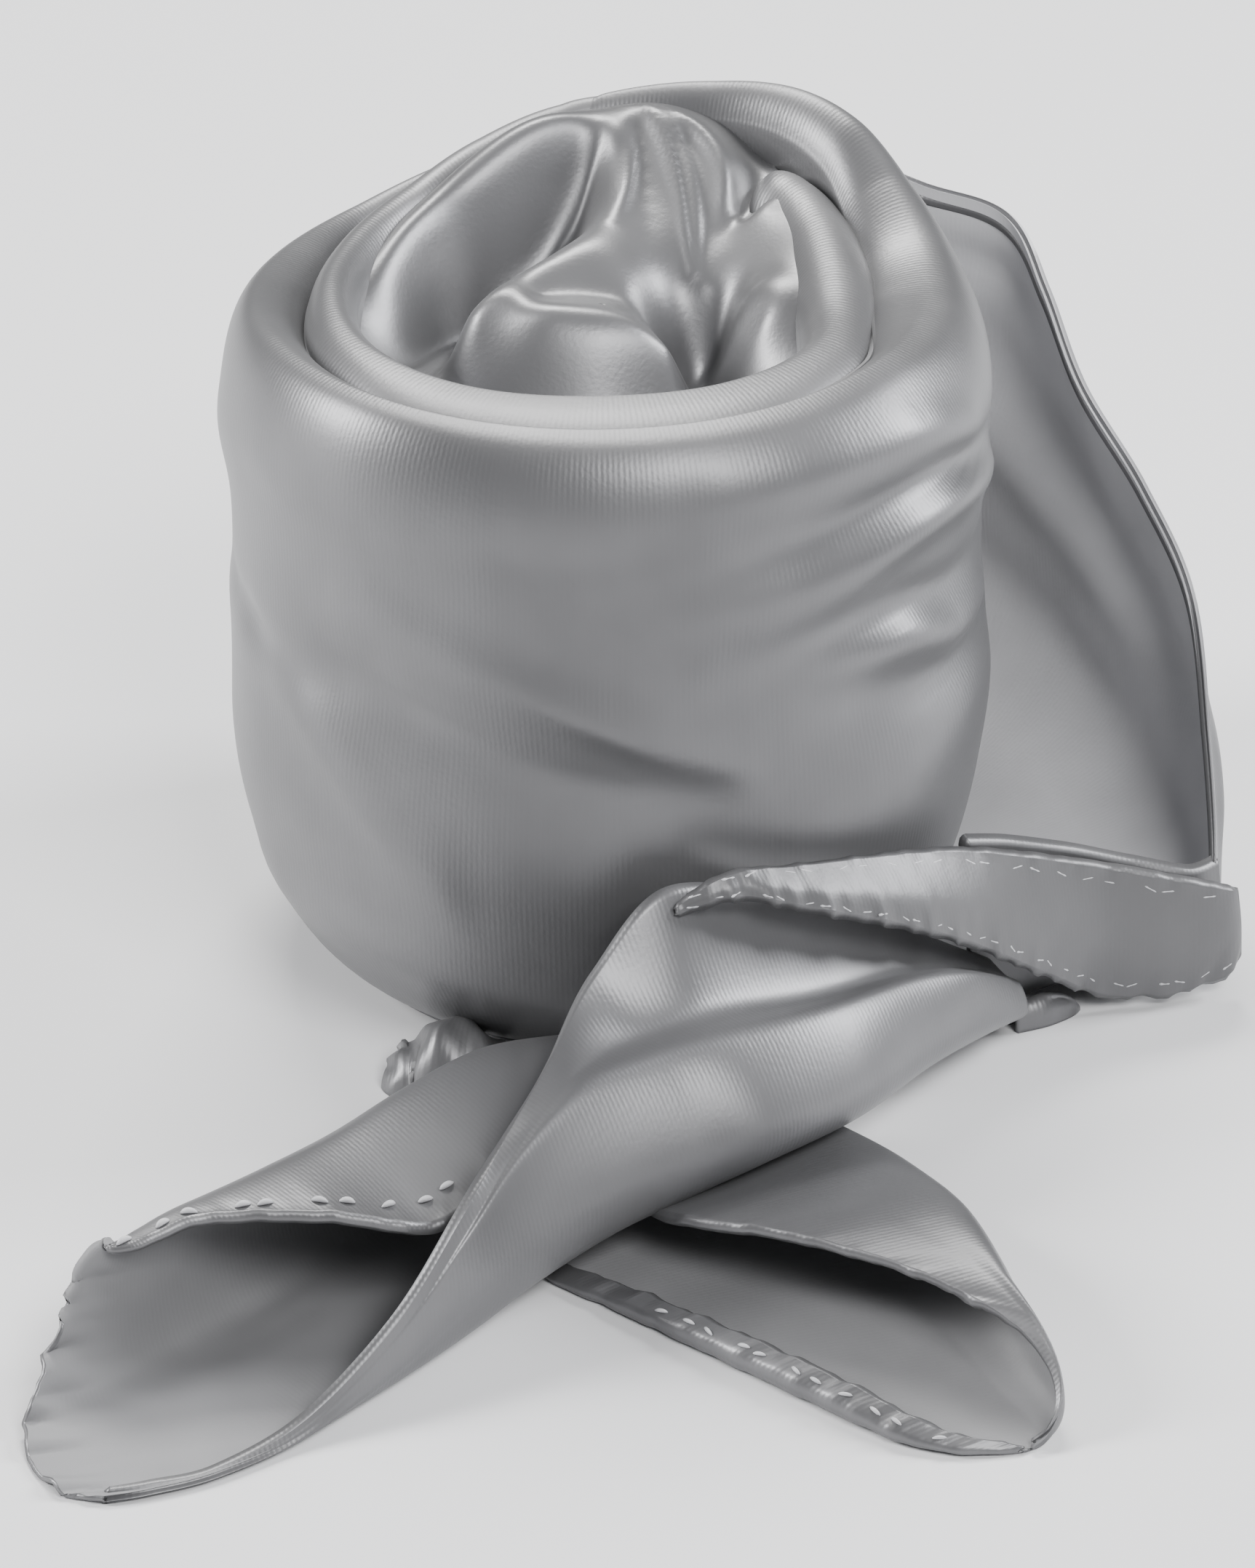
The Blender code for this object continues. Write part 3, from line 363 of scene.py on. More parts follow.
# Narrow pleats that gather at the crown's apex: their course seen from above, height and half width
CROWN_PLEATS = [
    table(PLEAT,
         (3.0, 22.4, 0.2, 0.35), (4.1, 20.6, 0.6, 0.4), (5.2, 17.6, 0.8, 0.45), (5.9, 14.0, 0.8, 0.5),
         (6.4, 10.6, 0.6, 0.5), (6.9, 7.6, 0.3, 0.5)),
    table(PLEAT,
         (3.6, 22.4, 0.2, 0.35), (5.3, 20.2, 0.5, 0.4), (6.6, 17.0, 0.7, 0.45), (7.2, 13.6, 0.7, 0.5),
         (7.4, 10.4, 0.5, 0.5), (7.4, 7.8, 0.2, 0.5)),
    table(PLEAT,
         (4.4, 22.4, 0.1, 0.5), (7.0, 20.4, 0.5, 0.6), (8.9, 17.6, 0.7, 0.7), (9.6, 14.8, 0.6, 0.7),
         (9.4, 12.2, 0.2, 0.7)),
    table(PLEAT,
         (2.0, 21.6, 0.1, 0.4), (2.2, 17.8, 0.45, 0.5), (1.8, 14.2, 0.5, 0.6), (0.8, 10.8, 0.2, 0.7)),
    table(PLEAT,
         (0.4, 20.8, 0.0, 0.5), (-1.2, 17.4, -0.4, 0.6), (-2.2, 14.6, -0.5, 0.8),
         (-2.6, 12.0, -0.2, 0.9)),
]


# Smooth interpolation

def eased(before, start, end, after, t):
    """A smooth value between start and end that keeps the slope of its neighbours."""
    slope_a = (end - before) / 2
    slope_b = (after - start) / 2
    t2, t3 = t * t, t * t * t
    values = (2 * t3 - 3 * t2 + 1) * start + (t3 - 2 * t2 + t) * slope_a
    return values + (3 * t2 - 2 * t3) * end + (t3 - t2) * slope_b


def refine(values, steps):
    """The rows of an array with smooth ones between them."""
    a = np.asarray(values, float)
    before = np.concatenate([a[:1], a[:-2]])
    after = np.concatenate([a[2:], a[-1:]])
    found = [eased(before, a[:-1], a[1:], after, k / steps) for k in range(steps)]
    joined = np.stack(found, 1).reshape(-1, *a.shape[1:])
    return np.concatenate([joined, a[-1:]])


def refined(rows, steps):
    return {name: refine(column, steps) for name, column in rows.items()}


def at(rows, column, values):
    """Smooth rows of a table at these values of a steadily changing column."""
    keys = rows[column]
    sign = 1.0 if keys[-1] > keys[0] else -1.0
    values = np.asarray(values, float)
    index = np.clip(np.searchsorted(sign * keys, sign * values) - 1, 0, len(keys) - 2)
    t = np.clip((values - keys[index]) / (keys[index + 1] - keys[index]), 0, 1)
    before, after = np.maximum(index - 1, 0), np.minimum(index + 2, len(keys) - 1)
    return {name: eased(a[before], a[index], a[index + 1], a[after], t) for name, a in rows.items()}


def smoothstep(low, high, value):
    t = np.clip((value - low) / (high - low), 0, 1)
    return t * t * (3 - 2 * t)


def lines_through(controls, steps):
    """Section lines (sections, points, 2) from control points: each one a pair of columns."""
    points = refine(np.moveaxis(np.array(controls), 2, 1), steps)
    return np.swapaxes(points, 0, 1)


# Sheets of cloth

def normals_of(grid):
    along = np.gradient(grid, axis=0)
    across = np.gradient(grid, axis=1)
    found = np.cross(along, across)
    length = np.linalg.norm(found, axis=2, keepdims=True)
    return found / np.maximum(length, 1e-9)


def pushed(grid, amount):
    """The sheet moved along its own normals."""
    return grid + normals_of(grid) * np.asarray(amount)[..., None]


def lengths_of(grid, axis):
    steps = np.linalg.norm(np.diff(grid, axis=axis), axis=2)
    total = np.cumsum(steps, axis=axis)
    first = np.zeros_like(np.take(total, [0], axis=axis))
    return np.concatenate([first, total], axis=axis)


def rim_of(n, m, ring):
    """The places (row, column) round a sheet's edge, as closed loops."""
    if ring:
        return [[(i, m - 1) for i in range(n)], [(i, 0) for i in range(n - 1, -1, -1)]]
    around = [(0, j) for j in range(m)] + [(i, m - 1) for i in range(1, n)]
    around += [(n - 1, j) for j in range(m - 2, -1, -1)] + [(i, 0) for i in range(n - 2, 0, -1)]
    return [around]


def cloth(name, grid, mat, *, thick=THIN, inward=1.0, weave=None, behind=None, ring=False, **facts):
    """A closed thin shell: grid is its glossy face, and the matte reverse lies the thickness behind it.

    On a ring the last row joins the first.
    """
    n, m = grid.shape[:2]
    thick = np.broadcast_to(np.asarray(thick, float), (n, m))
    wrapped = np.concatenate([grid[-1:], grid, grid[:1]]) if ring else grid
    normal = (normals_of(wrapped)[1:-1] if ring else normals_of(grid)) * inward
    back = grid + normal * thick[..., None]
    middle = (grid + back) / 2
    loops = rim_of(n, m, ring)
    rim = [place for loop in loops for place in loop]
    edge = []
    for i, j in rim:
        inside = (i if ring else min(max(i, 1), n - 2), min(max(j, 1), m - 2))
        away = middle[i, j] - middle[inside]
        edge.append(middle[i, j] + away / max(np.linalg.norm(away), 1e-6) * thick[i, j] * 0.5)
    points = np.concatenate([grid.reshape(-1, 3), back.reshape(-1, 3), np.array(edge)])
    face_a = np.arange(n * m).reshape(n, m)
    face_b = face_a + n * m
    rows = n if ring else n - 1
    next_a, next_b = np.roll(face_a, -1, axis=0)[:rows], np.roll(face_b, -1, axis=0)[:rows]
    here_a, here_b = face_a[:rows], face_b[:rows]
    quads = np.stack([here_a[:, :-1], next_a[:, :-1], next_a[:, 1:], here_a[:, 1:]], -1)
    quads = quads.reshape(-1, 4)
    under = np.stack([here_b[:, :-1], here_b[:, 1:], next_b[:, 1:], next_b[:, :-1]], -1)
    under = under.reshape(-1, 4)
    band, first = [], 2 * n * m
    for loop in loops:
        for k, a in enumerate(loop):
            after = (k + 1) % len(loop)
            b = loop[after]
            band.append((face_a[a], face_a[b], first + after, first + k))
            band.append((first + k, first + after, face_b[b], face_b[a]))
        first += len(loop)
    faces = np.concatenate([quads, under, np.array(band)])
    if inward > 0:
        faces = faces[:, ::-1]
    across = lengths_of(grid, 1)
    along = lengths_of(grid, 0)
    along = np.broadcast_to(along.mean(axis=1, keepdims=True), (n, m))
    flat_uv = (np.stack([along, across], -1) if weave is None else weave).reshape(-1, 2)
    rim_index = np.array([i * m + j for i, j in rim])
    uv = np.concatenate([flat_uv, flat_uv, flat_uv[rim_index]])
    reverse = np.zeros(len(faces), np.int32)
    reverse[len(quads):2 * len(quads)] = 1
    return mesh_piece(name, points, faces, uv, mat, reverse, behind or REVERSE, **facts)


def mesh_piece(
    name, points, faces, uv, mat, reverse=None, behind=None,
    nodes=(), flat=None, held="folded", rests=(), with_pieces=(),
):
    """A piece of the scene: reverse marks the faces that take the material behind."""
    points[:, 2] = np.maximum(points[:, 2], LOWEST)
    mesh = bpy.data.meshes.new(name)
    mesh.from_pydata((points * MM).tolist(), [], faces.tolist())
    mesh.update()
    layer = mesh.uv_layers.new(name="weave")
    loops = np.empty(len(mesh.loops), np.int32)
    mesh.loops.foreach_get("vertex_index", loops)
    layer.data.foreach_set("uv", (uv[loops] * WEAVE_SCALE).astype(np.float32).ravel())
    mesh.shade_smooth()
    mesh.materials.append(mat)
    if reverse is not None:
        mesh.materials.append(behind)
        mesh.polygons.foreach_set("material_index", reverse)
    piece = bpy.data.objects.new(name, mesh)
    bpy.context.scene.collection.objects.link(piece)
    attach(piece, "root")
    if nodes:
        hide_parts(*nodes)
    return piece


# Materials

RIB_SCALE = 80.0
RIB_BUMP = 0.06
GRAIN_SCALE = 2600.0
GRAIN_BUMP = 0.14
BUMP_DISTANCE = 0.0001
CLOUD_SCALE = 60.0
SHADE_RANGE = (0.88, 1.10)
TINT = (1.0, 1.0, 1.03)


def satin(name, shade, ribs=1.0, metallic=0.65, roughness=0.42, turned=0.5):
    """Satin: a sheen that turned draws out along the ribs, fine ribs across it and a faint grain."""
    mat = bpy.data.materials.new(name)
    mat.use_nodes = True
    nodes, links = mat.node_tree.nodes, mat.node_tree.links
    shader = nodes["Principled BSDF"]
    shader.inputs["Roughness"].default_value = roughness
    shader.inputs["Metallic"].default_value = metallic
    shader.inputs["Anisotropic"].default_value = turned
    shader.inputs["Anisotropic Rotation"].default_value = 0.25
    shader.inputs["Specular IOR Level"].default_value = 0.6
    tangent = nodes.new("ShaderNodeTangent")
    tangent.direction_type = "UV_MAP"
    tangent.uv_map = "weave"
    links.new(tangent.outputs["Tangent"], shader.inputs["Tangent"])
    uv = nodes.new("ShaderNodeUVMap")
    uv.uv_map = "weave"
    wave = nodes.new("ShaderNodeTexWave")
    wave.wave_type = "BANDS"
    wave.bands_direction = "X"
    wave.wave_profile = "SIN"
    wave.inputs["Scale"].default_value = RIB_SCALE
    wave.inputs["Distortion"].default_value = 0.6
    wave.inputs["Detail"].default_value = 1.0
    wave.inputs["Detail Scale"].default_value = 0.6
    links.new(uv.outputs["UV"], wave.inputs["Vector"])
    place = nodes.new("ShaderNodeTexCoord")
    grain = nodes.new("ShaderNodeTexNoise")
    grain.inputs["Scale"].default_value = GRAIN_SCALE
    grain.inputs["Detail"].default_value = 2.0
    links.new(place.outputs["Object"], grain.inputs["Vector"])
    rib_bump = nodes.new("ShaderNodeBump")
    rib_bump.inputs["Strength"].default_value = RIB_BUMP * ribs
    rib_bump.inputs["Distance"].default_value = BUMP_DISTANCE
    links.new(wave.outputs["Fac"], rib_bump.inputs["Height"])
    grain_bump = nodes.new("ShaderNodeBump")
    grain_bump.inputs["Strength"].default_value = GRAIN_BUMP
    grain_bump.inputs["Distance"].default_value = BUMP_DISTANCE
    links.new(grain.outputs["Fac"], grain_bump.inputs["Height"])
    links.new(rib_bump.outputs["Normal"], grain_bump.inputs["Normal"])
    links.new(grain_bump.outputs["Normal"], shader.inputs["Normal"])
    cloud = nodes.new("ShaderNodeTexNoise")
    cloud.inputs["Scale"].default_value = CLOUD_SCALE
    cloud.inputs["Detail"].default_value = 3.0
    links.new(place.outputs["Object"], cloud.inputs["Vector"])
    ramp = nodes.new("ShaderNodeValToRGB")
    for stop, place_on_ramp, share in zip(ramp.color_ramp.elements, (0.35, 0.65), SHADE_RANGE):
        stop.position = place_on_ramp
        stop.color = (shade * share * TINT[0], shade * share * TINT[1], shade * share * TINT[2], 1)
    links.new(cloud.outputs["Fac"], ramp.inputs["Fac"])
    links.new(ramp.outputs["Color"], shader.inputs["Base Color"])
    return mat


SATIN = satin("grey_satin", 0.18)
SATIN_CROWN = satin("grey_satin_crown", 0.19, ribs=0.0)
# Painted shade: the hems and the flap are the same grey satin, given a darker base tone (0.13 against
# 0.18) to stand in for the shade they lie in; the lower metallic and fainter ribs set their finish.
SHADED_HEM_SATIN = satin("grey_satin_hem_painted_shade", 0.13, ribs=0.6, metallic=0.5)
REVERSE = satin("matte_reverse", 0.20, metallic=0.0, roughness=0.62, turned=0.0)
# Painted light: the matte reverse of the side sweep is the same satin, given a far lighter base tone
# (0.66 against 0.20) to stand in for light that the lamps barely bring into the gap beside the bud.
LIT_SWEEP_REVERSE = satin("sweep_reverse_painted_light", 0.66, metallic=0.15, roughness=0.5, turned=0.2)
THREAD = satin("pale_thread", 0.50, ribs=0.3, metallic=0.0, roughness=0.5, turned=0.0)


# Bud

def placed(bearing, line):
    """Section lines of (radius, height) placed round the axis: bearing is (sections,)."""
    angle = np.radians(bearing)[:, None]
    return np.stack([line[..., 0] * np.cos(angle), line[..., 0] * np.sin(angle), line[..., 1]], -1)


def fold_push(folds, bearing, z):
    """How far the folds push a wall out, at each bearing and height."""
    total = np.zeros_like(z)
    for fold in folds:
        low, high = min(fold["bearing"]), max(fold["bearing"])
        here = at(fold, "bearing", np.clip(bearing, low, high))
        fade = smoothstep(0, FOLD_FADE, bearing - low) * smoothstep(0, FOLD_FADE, high - bearing)
        gap = z - here["z"][:, None]
        spread = np.where(gap > 0, here["up"][:, None], here["down"][:, None])
        total += FOLD_DEPTH * (fade * here["height"])[:, None] * np.exp(-((gap / spread) ** 2))
    return total


def rim_controls(row, shoulder, steps=4):
    """Control points of a rolled rim: shoulder, crest and inner side."""
    radius, rise, fall = row["radius"], row["rise"], row["fall"]
    inner = radius - row["width"]
    centre = radius - row["crest"] * row["width"]
    found = []
    for k in range(steps):
        angle = math.pi / 2 * k / steps
        out = centre + (radius - centre) * math.cos(angle)
        found.append((out, rise - shoulder * (1 - math.sin(angle))))
    for k in range(steps + 1):
        angle = math.pi / 2 * (1 - k / steps)
        out = centre - (centre - inner) * math.cos(angle)
        found.append((out, rise - fall * (1 - math.sin(angle))))
    found.append((inner, rise - np.maximum(row["depth"], fall + 0.4)))
    return found


def bud_wall():
    bearing = np.linspace(-246, -627, 440)
    row = at(OUTER_TURN, "bearing", bearing)
    scale = (row["rise"] - SHOULDER - 2.5) / 46.5
    controls = []
    for height, inset in zip(WALL["height"], WALL["inset"]):
        controls.append((row["radius"] - inset, height * scale))
    controls += rim_controls(row, SHOULDER)
    line = lines_through(controls, 5)
    outside = smoothstep(0, 4, line[..., 0] - (row["radius"] - row["width"])[:, None])
    line[..., 0] += fold_push(WALL_FOLDS, bearing, line[..., 1]) * outside
    cloth(
        "bud_wall", placed(bearing, line), SATIN,
        nodes=("outer_turn",), flat=(0.20, 0.067), rests=("crown",),
    )


def inner_roll():
    bearing = np.linspace(57, -288, 340)
    row = at(INNER_TURN, "bearing", bearing)
    foot_height = np.full(len(bearing), 43.9)
    controls = [(row["radius"] + 0.1, foot_height)] + rim_controls(row, row["shoulder"])
    line = lines_through(controls, 8)
    cloth(
        "inner_roll", placed(bearing, line), SATIN,
        nodes=("inner_turn",), flat=(0.13, 0.028), rests=("crown",),
    )


def thin_plate(lines):
    """A smooth height over the plane, near every line's points."""
    points = np.concatenate([np.stack([line[k] for k in "xyz"], 1) for line in lines])
    at_xy, z = points[:, :2], points[:, 2]

    def kernel(gap):
        return np.where(gap > 0, gap**2 * np.log(np.maximum(gap, 1e-9)), 0)

    gap = np.linalg.norm(at_xy[:, None] - at_xy[None], axis=2)
    count = len(z)
    flat = np.concatenate([np.ones((count, 1)), at_xy], 1)
    system = np.zeros((count + 3, count + 3))
    system[:count, :count] = kernel(gap) + np.eye(count) * CROWN_SLACK
    system[:count, count:] = flat
    system[count:, :count] = flat.T
    weights = np.linalg.solve(system, np.concatenate([z, np.zeros(3)]))

    def height(x, y):
        where = np.stack([x.ravel(), y.ravel()], 1)
        gap = np.linalg.norm(where[:, None] - at_xy[None], axis=2)
        found = kernel(gap) @ weights[:count] + weights[count] + where @ weights[count + 1:]
        return found.reshape(x.shape)

    return height


def pleated(x, y):
    """How far the pleats raise the crown at each place seen from above."""
    total = np.zeros_like(x)
    for pleat in CROWN_PLEATS:
        fine = refined(pleat, 10)
        gap = np.hypot(x[..., None] - fine["x"], y[..., None] - fine["y"])
        nearest = gap.argmin(-1)
        profile = np.exp(-((gap.min(-1) / fine["spread"][nearest]) ** 2))
        total += PLEAT_DEPTH * fine["height"][nearest] * profile
    return total


def crown():
    edge = refined(CROWN_EDGE, 6)
    angle = np.radians(edge["bearing"])
    rim = {"x": edge["radius"] * np.cos(angle), "y": edge["radius"] * np.sin(angle), "z": edge["z"]}
    lines = [refined(line, 4) for line in CROWN_LINES.values()]
    height = thin_plate(lines + [{name: column[:-1:2] for name, column in rim.items()}])
    bearing = np.linspace(-18, 342, 261)[:-1]
    reach = np.interp(bearing, edge["bearing"], edge["radius"])
    angle = np.radians(bearing)
    share = np.linspace(0.01, 1.0, 124)
    x = (reach * np.cos(angle))[:, None] * share
    y = (reach * np.sin(angle))[:, None] * share
    top = np.stack([x, y, height(x, y) + pleated(x, y)], -1)
    weave = np.stack([y - 0.7 * top[..., 2], x + 0.7 * top[..., 2]], -1)
    cloth(
        "crown", top, SATIN_CROWN, weave=weave, ring=True,
        nodes=("core_folds",), flat=(0.043, 0.0435), rests=("bud_wall",),
    )


def foot():
    """The rolled layers seen from below."""
    bearing = np.linspace(0, 360, 145)[:-1]
    reach = np.linspace(0.6, 21.4, 66)
    angle = np.radians(bearing)[:, None]
    turn = reach[None, :] / 3.1 - bearing[:, None] / 360
    z = 0.12 + 0.42 * (0.5 + 0.5 * np.cos(2 * math.pi * turn)) * smoothstep(0.6, 3.0, reach)[None, :]
    z = z + 0.12 * np.sin(3.0 * angle + 0.7 * reach[None, :])
    grid = np.stack([reach * np.cos(angle), reach * np.sin(angle), np.maximum(z, FLOOR)], -1)
    cloth(
        "bud_foot", grid, SATIN, inward=-1.0, weave=grid[..., :2], ring=True,
        nodes=("core_folds",), flat=(0.040, 0.039), rests=("bud_wall",),
    )


def side_sweep():
    bearing = np.linspace(114, -10.4, 240)
    row = at(SIDE_SWEEP, "bearing", bearing)
    lip, top_r, top_z = row["lip"], row["top_r"], row["top_z"]
    controls = [
        (top_r - lip, top_z - 0.9 * lip),
        (top_r - 0.9 * lip, top_z - 0.3 * lip),
        (top_r - 0.5 * lip, top_z),
        (top_r, top_z - 0.45 * lip),
    ]
    controls += [(row[k + "_r"], row[k + "_z"]) for k in ("mid", "low", "toe")]
    line = lines_through(controls, 14)
    below_edge = (top_z - 0.3)[:, None] - line[..., 1]
    share = smoothstep(1.0, 7.0, line[..., 1]) * smoothstep(1.0, 5.0, below_edge)
    line[..., 0] += fold_push(SWEEP_FOLDS, bearing, line[..., 1]) * share
    # The sweep's reverse takes the lighter material, whose tone is painted light.
    cloth(
        "side_sweep_satin", placed(bearing, line), SATIN, inward=-1.0, behind=LIT_SWEEP_REVERSE,
        nodes=("side_sweep",), flat=(0.082, 0.054), rests=("bud_wall",),
    )


# Hems and tails

def headings(x, y):
    return np.arctan2(np.gradient(y), np.gradient(x))


def across_placed(x, y, angle, line):
    """Section lines of (distance across, height) placed from floor points."""
    return np.stack([
        x[:, None] + line[..., 0] * np.cos(angle)[:, None],
        y[:, None] + line[..., 0] * np.sin(angle)[:, None],
        line[..., 1],
    ], -1)


def hem_bead(count, where, width, thick=HEM_EXTRA):
    """Extra thickness of a rolled hem at a section's start or end, width as a share of the section."""
    t = np.linspace(0, 1, count)
    gap = t if where == "start" else 1 - t
    return thick * (1 - smoothstep(width * 0.75, width, gap))


def crumple(grid, inward, depth, where, reach, seed):
    """Small uneven puckers beside a hem: where gives the distances from the hem and along it."""
    across, along = lengths_of(grid, 1), lengths_of(grid, 0)
    gap, run = where(along, across)
    wave = np.sin(1.3 * run + seed) + 0.7 * np.sin(2.3 * run + 2.0 * seed + 0.8 * gap)
    wave = wave + 0.3 * np.sin(3.7 * run + seed * 3.1)
    return pushed(grid, depth * wave * np.exp(-gap / reach))


def at_start(along, across):
    return along, across


def at_end(along, across):
    return along[-1:] - along, across


def at_left(along, across):
    return across, along


def at_right(along, across):
    return across[:, -1:] - across, along


def stitches(name, line, up, pitch, length=1.1, radius=0.16):
    """Short threads along a hem: line is the hem's course and up is the way that they stand out."""
    steps = np.concatenate([[0], np.cumsum(np.linalg.norm(np.diff(line, axis=0), axis=1))])
    ring = np.linspace(0, 2 * math.pi, 8, endpoint=False)
    rows = np.linspace(-0.96, 0.96, 7)
    points, faces = [], []
    for k, middle in enumerate(np.arange(pitch * 0.6, steps[-1] - pitch * 0.5, pitch)):
        middle += 0.22 * pitch * math.sin(k * 2.7)
        place = np.array([np.interp(middle, steps, line[:, a]) for a in range(3)])
        ahead = np.array([np.interp(middle + 0.3, steps, line[:, a]) for a in range(3)]) - place
        ahead = ahead / max(np.linalg.norm(ahead), 1e-9)
        out = np.array([np.interp(middle, steps, up[:, a]) for a in range(3)])
        side = np.cross(out, ahead)
        side = side / np.linalg.norm(side)
        out = np.cross(ahead, side)
        lean = ahead + side * 0.35 * math.sin(k * 1.9 + 1.0)
        first = len(points)
        for t in rows:
            swell = radius * math.sqrt(1 - t * t)
            middle_point = place + lean * t * length / 2 + out * radius * (0.9 - 0.7 * t * t)
            points += [middle_point + (side * math.cos(a) + out * math.sin(a)) * swell for a in ring]
        count = len(ring)
        for i in range(len(rows) - 1):
            for j in range(count):
                a, b = first + i * count + j, first + i * count + (j + 1) % count
                faces += [(a, b, b + count), (a, b + count, a + count)]
        for j in range(1, count - 1):
            last = first + (len(rows) - 1) * count
            faces += [(first, first + j + 1, first + j), (last, last + j, last + j + 1)]
    points = np.array(points)
    uv = np.stack([points[:, 0] + points[:, 1], points[:, 2]], -1)
    return mesh_piece(name, points, np.array(faces), uv, THREAD)


def front_hem(tucked):
    row = refined(FRONT_HEM, 24)
    angle = headings(row["x"], row["y"]) + math.pi / 2
    zero = 0 * row["x"]
    controls = [
        (zero, row["rise"]),
        (row["lean"], row["rise"] * 0.5),
        (row["lean"] * 0.6, zero + 1.6),
        (-row["toe"], zero + 1.2),
    ]
    line = lines_through(controls, 20)
    thick = THIN + hem_bead(line.shape[1], "start", 0.12)
    grid = across_placed(row["x"], row["y"], angle, line)
    # The hem's satin carries painted shade in its darker base tone.
    cloth(
        "front_hem_satin", grid, SHADED_HEM_SATIN, thick=thick[None, :], inward=-1.0,
        nodes=("front_hem",), flat=(0.025, 0.016), rests=("side_sweep_satin",), with_pieces=tucked,
    )


def hem_flap():
    row = refined(HEM_FLAP, 24)
    angle = headings(row["x"], row["y"]) - math.pi / 2
    zero = 0 * row["x"]
    controls = [
        (zero, row["rise"]),
        (row["kick"] * 0.7, row["rise"] - row["drop"] * 0.5),
        (row["kick"], row["rise"] - row["drop"]),
    ]
    line = lines_through(controls, 30)
    grid = across_placed(row["x"], row["y"], angle, line)
    along = np.linspace(0, 1, len(angle))
    quiet_ends = (smoothstep(0, 0.04, along) * smoothstep(0, 0.08, 1 - along))[:, None]
    grid = crumple(grid, 1.0, 0.12 * quiet_ends, at_right, 1.4, 0.4)
    grid = crumple(grid, 1.0, 0.04 * quiet_ends, at_left, 0.8, 2.2)
    bead = hem_bead(line.shape[1], "start", 0.10, 0.5) + hem_bead(line.shape[1], "end", 0.12, 0.6)
    thick = THIN + bead[None, :] * (0.3 + 0.7 * quiet_ends)
    out = normals_of(grid)
    threads = [
        stitches("flap_upper_threads", grid[:-14, 8], out[:-14, 8], 2.6),
        stitches("flap_lower_threads", grid[:-14, -9], out[:-14, -9], 1.9, length=0.9),
    ]
    # The flap's satin carries painted shade in its darker base tone.
    cloth(
        "hem_flap_satin", grid, SHADED_HEM_SATIN, thick=thick,
        nodes=("hem_flap",), flat=(0.045, 0.0105), rests=("front_hem_satin",), with_pieces=threads,
    )


def front_tail():
    row = refined(FRONT_TAIL, 20)
    width, lift, turn = row["width"], row["lift"], row["round"]
    wide = width - row["edge_u"]
    mid_u = (row["hem_u"] + row["crest_u"]) / 2
    mid_z = (row["hem_z"] + row["crest_z"]) / 2 - row["sag"]
    zero = 0 * width
    controls = [
        (row["hem_u"], row["hem_z"]),
        (mid_u, mid_z),
        (row["crest_u"], row["crest_z"]),
        (zero - 0.4, lift + 0.45 * (row["crest_z"] - lift)),
        (zero + 1.4, lift),
        (width * 0.5, lift),
        (width - 2.2 - 2.0 * turn, lift + 0.2 + 1.8 * turn),
        (width - 1.4 * turn, lift + (0.5 + 0.15 * turn) * (row["far_z"] - lift)),
        (width - 0.25 * wide, row["far_z"]),
        (row["edge_u"], row["edge_z"]),
    ]
    line = lines_through(controls, 16)
    line[..., 1] = np.maximum(line[..., 1], FLOOR)
    angle = np.radians(row["across"])
    grid = across_placed(row["x"], row["y"], angle, line)
    run = lengths_of(grid, 1)
    share = run / run[:, -1:]
    out = at(MOUTH, "share", share)["out"] * turn[:, None]
    grid[..., 0] += out * np.cos(angle + math.pi / 2)[:, None]
    grid[..., 1] += out * np.sin(angle + math.pi / 2)[:, None]
    inner_share = smoothstep(0.02, 0.14, share) * (1 - smoothstep(0.80, 0.93, share))
    grid = crumple(grid, 1.0, 0.30 * inner_share, at_start, 2.6, 1.1)
    grid = crumple(grid, 1.0, 0.05 * (1 - turn[:, None]), at_right, 1.4, 0.6)
    grid[..., 2] = np.maximum(grid[..., 2], FLOOR)
    near_bead = hem_bead(line.shape[1], "start", 0.035, 0.6)[None, :] * (1 - 0.8 * turn[:, None])
    far_bead = hem_bead(line.shape[1], "end", 0.05, 0.6)[None, :] * (1 - turn[:, None])
    shown = slice(14, 118)
    course, out = grid[shown, -5], -normals_of(grid)[shown, -5]
    threads = [stitches("tail_hem_threads", course, out, 2.8, length=1.2, radius=0.24)]
    cloth(
        "front_tail_satin", grid, SATIN, thick=THIN + near_bead + far_bead,
        nodes=("front_tail",), flat=(0.072, 0.05), rests=("hem_flap_satin",), with_pieces=threads,
    )


